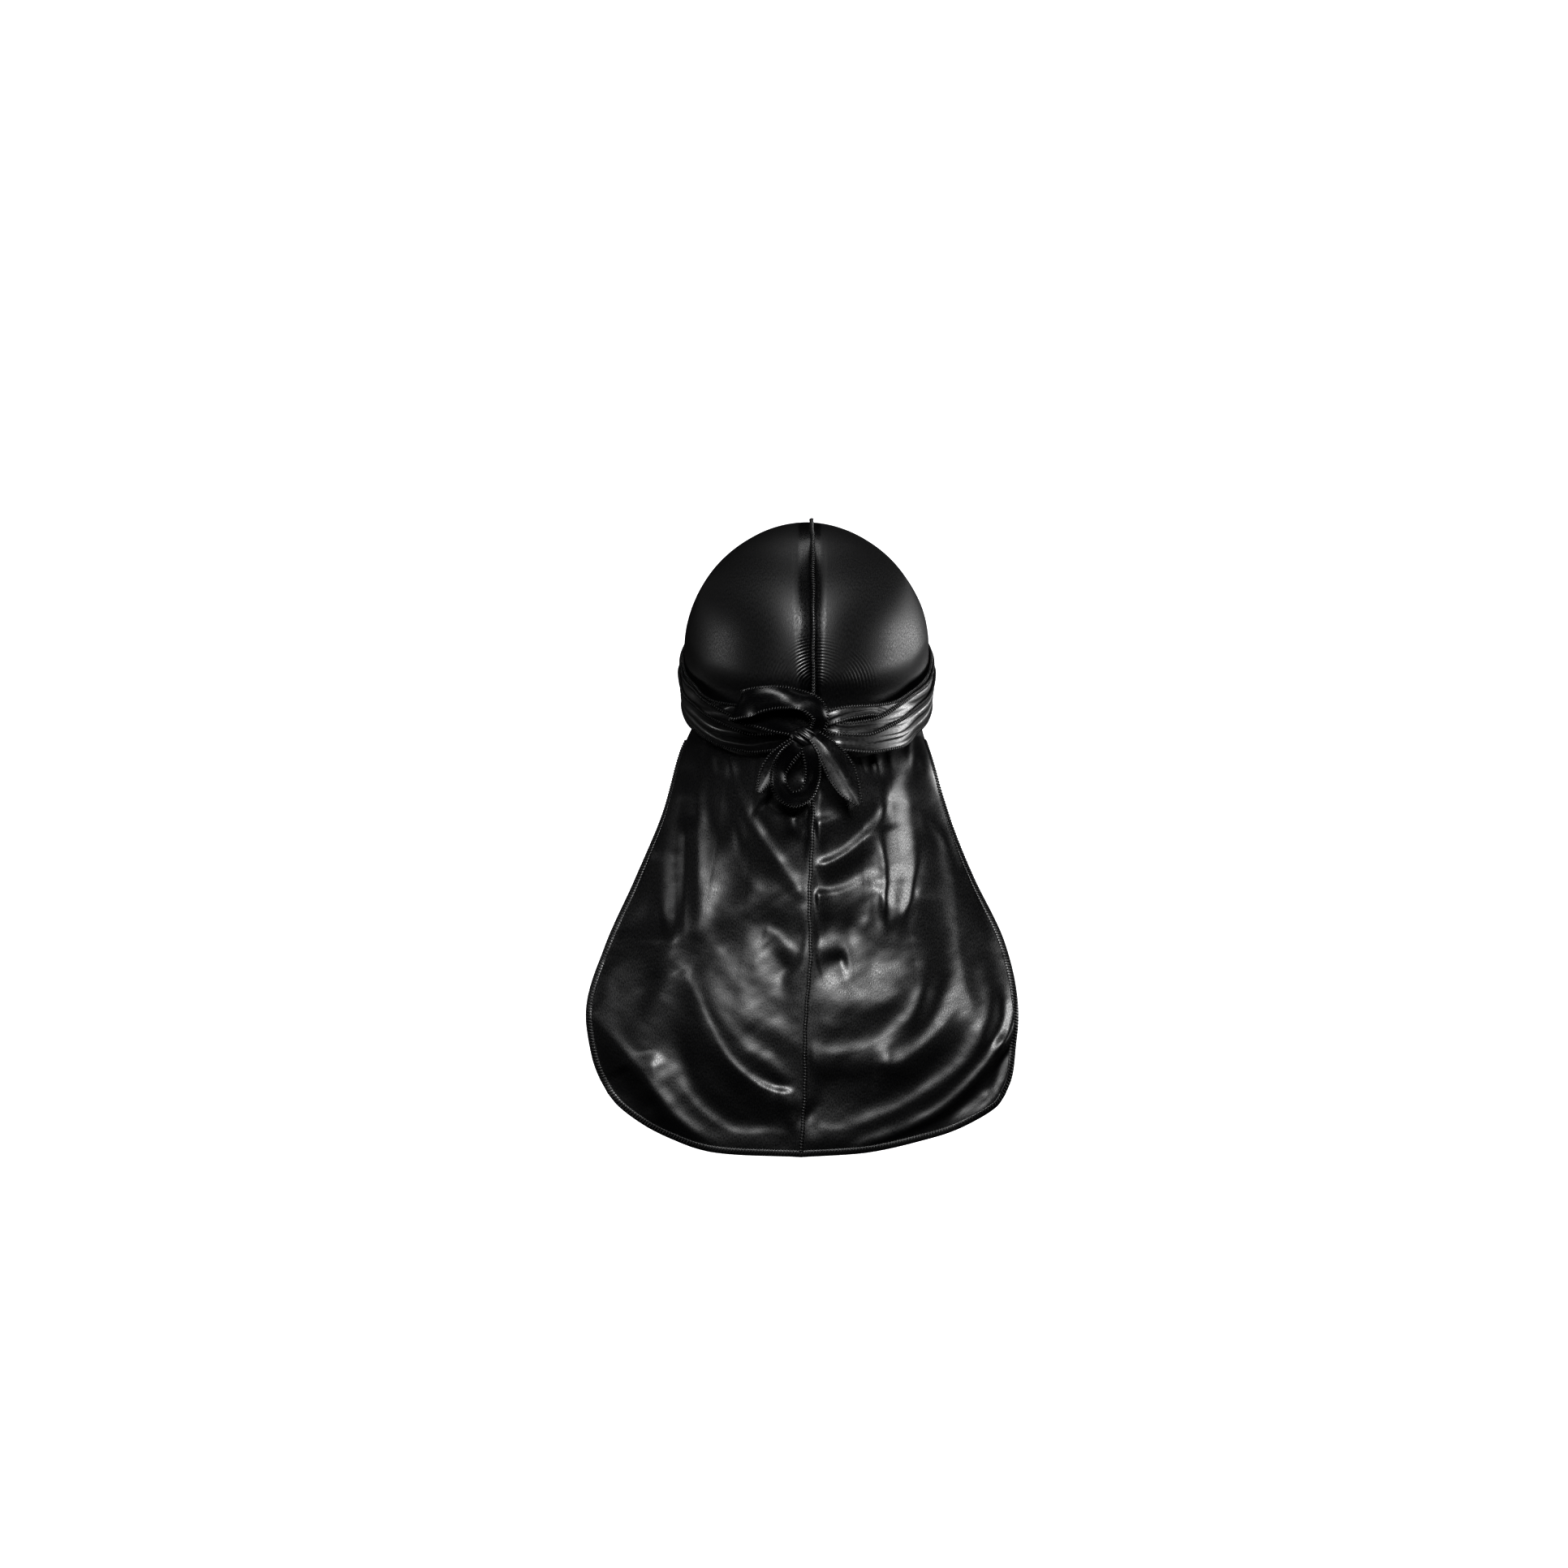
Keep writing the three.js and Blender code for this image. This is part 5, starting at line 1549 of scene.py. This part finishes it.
@dataclass
class Straps:
    """The two long straps wrapped round the cap, layer over layer."""

    form: CapForm
    wardrobe: Wardrobe
    overlock: Overlock
    first_layer: float = 1.6
    pitch: float = 1.4
    seam_lift: float = 1.8
    lift_spread: float = 15.0
    thickness: float = 0.5
    rows: int = 760
    columns: int = 40
    stitch_pitch: float = 1.9
    tilt: dict[Side, float] = field(default_factory=lambda: {Side.RIGHT: 0.32, Side.LEFT: -0.22})
    tilt_band: Span = (-152.0, -112.0)
    tilt_rise: Span = (2.0, 12.0)
    tilt_fall: Span = (36.0, 62.0)
    cross_back: Span = (14.0, 28.0)
    cross_front: Span = (150.0, 165.0)
    easing: int = 23
    degree_length: float = 1.55
    seeds: dict[Side, int] = field(default_factory=lambda: {Side.RIGHT: 31, Side.LEFT: 47})
    creases: int = 12
    crease_span: Span = (2.4, 9.0)
    crease_reach: Span = (120.0, 300.0)
    crease_bend: float = 2.0
    crease_height: float = 0.26
    crease_sum: float = 1.6
    stitch: StitchKind = StitchKind(width=1.9, slant=0.6, rise=0.95, thread=0.46)
    route: tuple[tuple[float, float, float, float], ...] = (
        (130, -66, -91, 1),
        (110, -73, -101, 1),
        (90, -86, -113, 1),
        (75, -99, -122, 1),
        (53, -111, -130, 1),
        (39, -118.5, -133, 1),
        (28, -121, -126.5, 1),
        (14, -122, -130, 2),
        (0, -127, -139, 2),
        (-14, -132.8, -145, 2),
        (-28, -129.2, -141, 2),
        (-39, -121, -137, 2),
        (-53, -113, -133, 2),
        (-75, -103, -124, 2),
        (-90, -90, -114, 2),
        (-120, -68, -100, 2),
        (-150, -58, -72.5, 2),
        (-165, -57, -71, 2),
        (-180, -63, -79, 2),
        (-195, -72.5, -86, 2),
        (-210, -74, -88, 3),
        (-240, -80, -104, 3),
        (-270, -97, -120, 3),
        (-285, -112, -131, 3),
        (-307, -122.5, -141.5, 3),
        (-321, -130, -148, 3),
        (-337, -140, -151.6, 3),
        (-352, -139, -149, 3),
        (-357, -138, -147, 3),
    )

    def layer(self, side: Side, angle: np.ndarray, table: np.ndarray) -> np.ndarray:
        """Returns which layer of the wraps a strap lies in at angles along its way."""
        plain = np.interp(-angle, -table[:, 0], table[:, 3])
        if side is Side.RIGHT:
            return plain
        back = 1 + smoothstep(-angle, *self.cross_back)
        front = 2 + smoothstep(-angle, *self.cross_front)
        plain = np.where(-angle < self.cross_back[1], back, plain)
        return np.where(-angle > self.cross_front[0], front, plain)

    def grid(self, side: Side) -> tuple[np.ndarray, np.ndarray]:
        """Returns one strap's middle points and their ways out, from its sewn start to the knot."""
        table = np.array(self.route)
        angle = np.linspace(table[0, 0], table[-1, 0], self.rows)
        kernel = np.hanning(self.easing)
        kernel = kernel / kernel.sum()

        def eased(column: int) -> np.ndarray:
            """Returns a column of the route, its corners rounded."""
            plain = np.interp(-angle, -table[:, 0], table[:, column])
            return np.convolve(np.pad(plain, self.easing // 2, mode="edge"), kernel, mode="valid")

        top, foot = eased(1), eased(2)
        layer = self.layer(side, angle, table)
        turned = np.abs((angle + 90) % 180 - 90)
        lift = self.seam_lift * (1 - smoothstep(turned, 0, self.lift_spread))
        offset = self.first_layer + (layer - 1) * self.pitch + lift
        w = np.linspace(0, 1, self.columns + 1)
        height = foot[:, None] + (top - foot)[:, None] * w[None, :]
        along = angle[:, None] * self.degree_length * np.ones_like(height)
        wrinkle = self.wrinkles(along, height - foot[:, None], self.seeds[side])
        wrinkle = wrinkle * np.sin(np.pi * np.clip(w, 0.02, 0.98))[None, :]
        total = offset[:, None] + wrinkle + self.leaned(side.value * angle, height)
        points = self.form.at_band(side.value * angle[:, None] * np.ones_like(height), height, total)
        return points, self.form.outwards(points, grid_normals(points))

    def leaned(self, degrees: np.ndarray, height: np.ndarray) -> np.ndarray:
        """Returns how far the wraps lean off the cap beside the bow.

        Args:
            degrees: Angles round the form, one for each row, positive towards +X.
            height: Heights of the strap's points, rows down.

        Returns:
            The distances outwards, in millimetres.
        """
        turned = (degrees + 180) % 360 - 180
        foot, top = self.tilt_band
        beside = smoothstep(np.abs(turned), *self.tilt_rise) * (1 - smoothstep(np.abs(turned), *self.tilt_fall))
        share = np.where(turned > 0, self.tilt[Side.RIGHT], -self.tilt[Side.LEFT])
        from_top = np.clip(top - height, 0, None)
        from_foot = np.clip(height - foot, 0, None)
        away = np.where((turned > 0)[:, None], from_top, from_foot)
        return away * (share * beside)[:, None]

    def wrinkles(self, along: np.ndarray, across: np.ndarray, seed: int) -> np.ndarray:
        """Returns the heights of fine creases that run lengthwise down a strap."""
        draw = np.random.default_rng(seed)
        total = np.zeros_like(along)
        for _ in range(self.creases):
            span = draw.uniform(*self.crease_span)
            reach = draw.uniform(*self.crease_reach)
            phase, other = draw.uniform(0, 2 * math.pi, 2)
            bend = self.crease_bend * np.sin(along / reach * 2 * math.pi + other)
            total += span / self.crease_span[1] * np.sin((across + bend) / span * 2 * math.pi + phase)
        return self.crease_height * np.tanh(total / self.crease_sum)

    def build(self) -> list[bpy.types.Object]:
        """Builds both straps and the stitches along their edges.

        Returns:
            The two straps.
        """
        made = []
        rows = []
        for side, name in ((Side.RIGHT, "strap_right"), (Side.LEFT, "strap_left")):
            points, normal = self.grid(side)
            piece = thin_wall("band_" + name, points, self.thickness)
            made.append(self.wardrobe.dress(piece, STRAP_SATIN, [name]))
            for column in (1, self.columns - 1):
                line = points[:, column] + normal[:, column] * (self.thickness * STITCH_RISE)
                rows.append(StitchPath.spaced(line, normal[:, column], self.stitch_pitch))
        self.overlock.sew("band_stitches", rows, self.stitch)
        return made


# The bow


@dataclass(frozen=True)
class Section:
    """One section of a ribbon: its middle, half its width, its lean and tip, and its bend."""

    x: float
    y: float
    z: float
    half: float
    lean: float
    tip: float = 0.0
    bulge: float = 0.0
    crease: float = 0.0


@dataclass
class Bow:
    """The tied bow: the tight wrap, two loops and the straps' two ends."""

    wardrobe: Wardrobe
    overlock: Overlock
    thickness: float = 0.5
    columns: int = 26
    stitch_pitch: float = 1.8
    stitch: StitchKind = StitchKind(width=1.6, slant=0.5, rise=0.85, thread=0.42)
    knot_centre: tuple[float, float, float] = (-1.0, -103.1, -142.5)
    knot_half: tuple[float, float, float] = (10.5, 6.0, 8.5)
    knot_rings: tuple[int, int] = (90, 140)
    knot_folds: Span = (0.05, 0.02)
    end_rows: int = 60
    section_rows: int = 26
    first_seed: int = 61
    ribbons: dict[str, tuple[Section, ...]] = field(
        default_factory=lambda: {
            "bow_loop_upper": (
                Section(0, -104.5, -140, 5, 74, 0, 0.5),
                Section(-8, -103.8, -133, 9, 76, 0, 1),
                Section(-20, -102.5, -128, 11.5, 78, 0, 1.5),
                Section(-33, -100.5, -124, 11.5, 76, 0, 1),
                Section(-41, -99.5, -122.5, 11, 66, 0, 0),
                Section(-44.5, -102, -122, 10.5, 60, 5, 0),
                Section(-41, -105.5, -121.5, 9.5, 60, 2, -0.5),
                Section(-33, -109, -119, 8.5, 80, -2, -1),
                Section(-20, -111.5, -117, 7.5, 92, 6, -1.5),
                Section(-6, -112.5, -118, 8, 80, 44, -1.8),
                Section(3.5, -112, -122.5, 7.5, 46, 30, -1.5),
                Section(7.5, -110.5, -129, 6, 15, 34, -1),
                Section(6, -108.5, -137, 4.5, -10, 10, 0),
            ),
            "bow_loop_lower": (
                Section(-6, -107, -147, 4.5, 20, 5, 0.5),
                Section(-13, -109, -154, 6, 12, 30, 0.5),
                Section(-18.5, -111.5, -164, 7.5, 20, 50, 0.5),
                Section(-17, -112.5, -174, 8, 50, 52, 0.5),
                Section(-9.5, -113, -180, 8, 90, 52, 0.5),
                Section(-1.5, -112.5, -177, 7.5, 128, 52, 0.5),
                Section(2.5, -111.5, -168, 7, 160, 50, 0.5),
                Section(2.5, -110, -157, 5.5, 176, 30, 0.5),
                Section(0, -108.5, -147, 4.5, 180, 5, 0.5),
            ),
            "strap_end_right": (
                Section(4, -109.5, -141, 4, 40, 4, 0, 0.6),
                Section(10, -110.5, -147, 6, 38, 5, 0, 1.2),
                Section(16, -111.2, -155, 8.5, 34, 4, 0, 1.6),
                Section(21, -111.8, -164, 9.5, 30, 3, 0, 1.6),
                Section(26, -112.2, -174, 7.5, 26, 3, 0, 1.2),
                Section(32, -112.5, -184, 1.2, 20, 2, 0, 0),
            ),
            "strap_end_left": (
                Section(-5, -105.5, -144, 4, -40, 2, 0, 0.5),
                Section(-13, -105, -150, 5, -38, 2, 0, 0.8),
                Section(-20.5, -105, -157, 5.5, -32, 2, 0, 1),
                Section(-26, -105.5, -166, 5, -26, 2, 0, 0.8),
                Section(-31, -106.5, -176, 1.4, -20, 0, 0, 0),
            ),
        }
    )

    def ribbon_grid(self, sections: Sequence[Section], count: int, seed: int) -> np.ndarray:
        """Returns a ribbon's middle points.

        Args:
            sections: The ribbon's sections in order.
            count: The rows along it.
            seed: The seed of its fine creases.

        Returns:
            The grid, rows along the ribbon.
        """
        share = np.linspace(0, 1, count)
        place = share * (len(sections) - 1)
        knots = np.arange(len(sections))
        line = Line([(s.x, s.y, s.z) for s in sections])
        reached = np.minimum(knots * Line.SAMPLES, len(line.along) - 1)
        marks = line.along[reached] / line.length
        middle = line.at(np.interp(place, knots, marks))
        ease = max(3, count // len(sections)) | 1
        kernel = np.hanning(ease + 2)[1:-1] / np.hanning(ease + 2).sum()
        value = {}
        for name in ("half", "lean", "tip", "bulge", "crease"):
            plain = np.interp(place, knots, [getattr(s, name) for s in sections])
            value[name] = np.convolve(np.pad(plain, ease // 2, mode="edge"), kernel, mode="valid")
        along = unit(np.gradient(middle, axis=0))
        lean = np.radians(value["lean"])
        tip = np.radians(value["tip"])
        across = np.stack([np.cos(lean) * np.cos(tip), np.sin(tip), np.sin(lean) * np.cos(tip)], axis=-1)
        across = unit(across - along * (across * along).sum(axis=-1, keepdims=True))
        out = unit(np.cross(across, along))
        w = np.linspace(-1, 1, self.columns + 1)
        bend = value["bulge"][:, None] * (1 - w**2) + value["crease"][:, None] * (1 - np.sqrt(w**2 + 0.01))
        u = share[:, None] * line.length + 0 * w
        x = value["half"][:, None] * w
        bend = bend + Crumple(seed=seed, waves=9, shortest=7, longest=20, height=0.5).at(u * 0.45, x)
        points = middle[:, None] + across[:, None] * (value["half"][:, None] * w)[..., None]
        return points + out[:, None] * bend[..., None]

    def knot(self) -> bpy.types.Object:
        """Builds the tight wrap with its slanting folds, closed at both poles."""
        rows, sides = self.knot_rings
        polar = np.linspace(0, math.pi, rows + 1)[1:-1, None]
        turn = np.arange(sides)[None, :] * 2 * math.pi / sides
        direction = np.stack(
            [np.sin(polar) * np.cos(turn), np.sin(polar) * np.sin(turn), np.cos(polar) + 0 * turn], axis=-1
        )
        slant = direction[..., 2] * 1.1 + direction[..., 0] * 0.9
        deep, fine = self.knot_folds
        folds = deep * np.sin(slant * 9.0 + 0.7 * np.sin(turn * 3)) + fine * np.sin(slant * 17 + 1.0)
        grown = 1 + folds * np.sin(polar) ** 0.5
        half, centre = np.array(self.knot_half), np.array(self.knot_centre)
        rings = direction * grown[..., None] * half + centre
        poles = np.array([[0, 0, 1.0], [0, 0, -1.0]]) * half + centre
        uv = np.concatenate([rings.reshape(-1, 3), poles])[:, [0, 2]] * MM
        return ringed("knot_folds", rings, poles, uv)

    def build(self) -> list[tuple[bpy.types.Object, float, float]]:
        """Builds the bow's pieces and their edge stitches.

        Returns:
            Each ribbon with its length in metres and its area in square metres.
        """
        # The wrap and the strap ends wear the darker copy of the strap satin, with painted shade.
        self.wardrobe.dress(self.knot(), SHADED_BOW_SATIN, ["knot_wrap"])
        made, rows = [], []
        for seed, (name, sections) in enumerate(self.ribbons.items(), start=self.first_seed):
            grid = self.ribbon_grid(sections, self.end_rows + self.section_rows * len(sections), seed)
            piece = thin_wall("tied_" + name, grid, self.thickness)
            # The loops take the darkest copy of the satin, with painted shade. The strap ends take the bow's
            # darker copy.
            self.wardrobe.dress(piece, DEEPER_SHADED_LOOP_SATIN if "loop" in name else SHADED_BOW_SATIN, [name])
            steps = np.linalg.norm(np.diff(grid, axis=0), axis=-1) * MM
            widths = np.linalg.norm(np.diff(grid, axis=1), axis=-1) * MM
            length = float(steps.sum(axis=0).mean())
            made.append((piece, length, length * float(widths.sum(axis=1).mean())))
            normal = grid_normals(grid)
            for column in (1, -2):
                for way in (1, -1):
                    line = grid[:, column] + way * normal[:, column] * (self.thickness * STITCH_RISE)
                    rows.append(StitchPath.spaced(line, way * normal[:, column], self.stitch_pitch))
        self.overlock.sew("bow_stitches", rows, self.stitch)
        return made


# The studio


@dataclass(frozen=True)
class SoftLight:
    """One area light: where it stands, what it faces, its size and its power."""

    name: str
    place: tuple[float, float, float]
    target: tuple[float, float, float]
    width: float
    height: float
    power: float


@dataclass
class Studio:
    """The pale sweep, the soft lights and the camera at the photograph's angle."""

    camera_place: tuple[float, float, float] = (-0.015, -2.3, -0.171)
    lens: float = 80.4
    sensor: float = 36.0
    floor_height: float = -0.62
    backdrop: float = 1.5
    world_light: float = 0.001
    world_shown: float = 0.95
    gamma: float = 0.8
    lights: tuple[SoftLight, ...] = (
        SoftLight("key", (0.0, -1.5, 0.75), (0.0, -0.1, -0.25), 1.2, 0.5, 57.0),
        SoftLight("rim_right", (1.6, 0.25, -0.02), (0.05, 0.0, -0.12), 0.6, 0.5, 14.5),
        SoftLight("rim_left", (-1.6, 0.2, -0.02), (-0.05, 0.0, -0.12), 0.5, 0.45, 5.3),
        SoftLight("top", (0.0, 0.35, 1.45), (0.0, 0.0, -0.04), 0.9, 0.6, 4.0),
        SoftLight("back_right", (1.3, 0.85, 0.1), (0.06, 0.0, -0.08), 0.5, 0.3, 6.5),
    )

    def build(self) -> None:
        """Builds the sweep, the lights, the world and the camera."""
        self.sweep()
        for light in self.lights:
            self.light(light)
        self.world()
        self.camera()

    def sweep(self) -> None:
        """Builds one pale surface that is floor in front and wall behind."""
        radius, half, front = 0.7, 4.0, -4.0
        angle = np.linspace(0, math.pi / 2, 24)
        y = np.concatenate([[front], self.backdrop - radius + radius * np.sin(angle), [self.backdrop]])
        z = np.concatenate([[0.0], radius - radius * np.cos(angle), [4.0]]) + self.floor_height
        rows = np.stack([y, z], axis=-1)
        points = [(x, py, pz) for py, pz in rows for x in (-half, half)]
        faces = [(2 * k, 2 * k + 1, 2 * k + 3, 2 * k + 2) for k in range(len(rows) - 1)]
        mesh = bpy.data.meshes.new("pale_sweep")
        mesh.from_pydata(points, [], faces)
        mesh.polygons.foreach_set("use_smooth", np.ones(len(faces), dtype=bool))
        made = bpy.data.objects.new("pale_sweep", mesh)
        bpy.context.scene.collection.objects.link(made)
        paint = bpy.data.materials.new("pale_paper")
        paint.use_nodes = True
        shader = paint.node_tree.nodes["Principled BSDF"]
        shader.inputs["Base Color"].default_value = (0.86, 0.86, 0.87, 1.0)
        shader.inputs["Roughness"].default_value = 0.9
        shader.inputs["Specular IOR Level"].default_value = 0.1
        shader.inputs["Emission Color"].default_value = (1.0, 1.0, 1.0, 1.0)
        shader.inputs["Emission Strength"].default_value = 0.8
        mesh.materials.append(paint)
        made.visible_glossy = False
        made.visible_diffuse = False

    def light(self, soft: SoftLight) -> None:
        """Adds one area light."""
        lamp = bpy.data.lights.new(soft.name, "AREA")
        lamp.shape = "RECTANGLE"
        lamp.size, lamp.size_y = soft.width, soft.height
        lamp.energy = soft.power
        made = bpy.data.objects.new(soft.name, lamp)
        bpy.context.scene.collection.objects.link(made)
        made.location = soft.place
        way = Vector(soft.target) - Vector(soft.place)
        made.rotation_euler = way.to_track_quat("-Z", "Y").to_euler()

    def world(self) -> None:
        """Sets a pale world that lights the cloth only a little."""
        world = bpy.data.worlds.new("pale_world")
        bpy.context.scene.world = world
        world.use_nodes = True
        kit = NodeKit(world.node_tree)
        shade = world.node_tree.nodes["Background"].inputs
        shade["Color"].default_value = (0.95, 0.95, 0.96, 1.0)
        seen = kit.add("ShaderNodeLightPath").outputs["Is Camera Ray"]
        limits = {"Value": seen, "To Min": self.world_light, "To Max": self.world_shown}
        strength = kit.add("ShaderNodeMapRange", limits).outputs[0]
        world.node_tree.links.new(strength, shade["Strength"])
        view = bpy.context.scene.view_settings
        view.view_transform = "Standard"
        view.gamma = self.gamma

    def camera(self) -> None:
        """Adds the level camera behind the cap."""
        view = bpy.data.cameras.new("camera")
        view.lens, view.sensor_width = self.lens, self.sensor
        made = bpy.data.objects.new("camera", view)
        bpy.context.scene.collection.objects.link(made)
        made.location = self.camera_place
        made.rotation_euler = (math.radians(90), 0, 0)
        bpy.context.scene.camera = made


def main() -> None:
    """Builds the studio and the durag."""
    logging.basicConfig(level=logging.INFO, format="%(name)s: %(message)s")
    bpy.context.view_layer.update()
    Studio().build()
    wardrobe, form = Wardrobe(), CapForm()
    overlock = Overlock(wardrobe)
    panels = CapAndTail(Cloth(form), wardrobe, overlock).build()
    straps = Straps(form, wardrobe, overlock).build()
    ribbons = Bow(wardrobe, overlock).build()
    log.info("%d panels, %d straps and %d ribbons", len(panels), len(straps), len(ribbons))


if __name__ == "__main__":
    main()
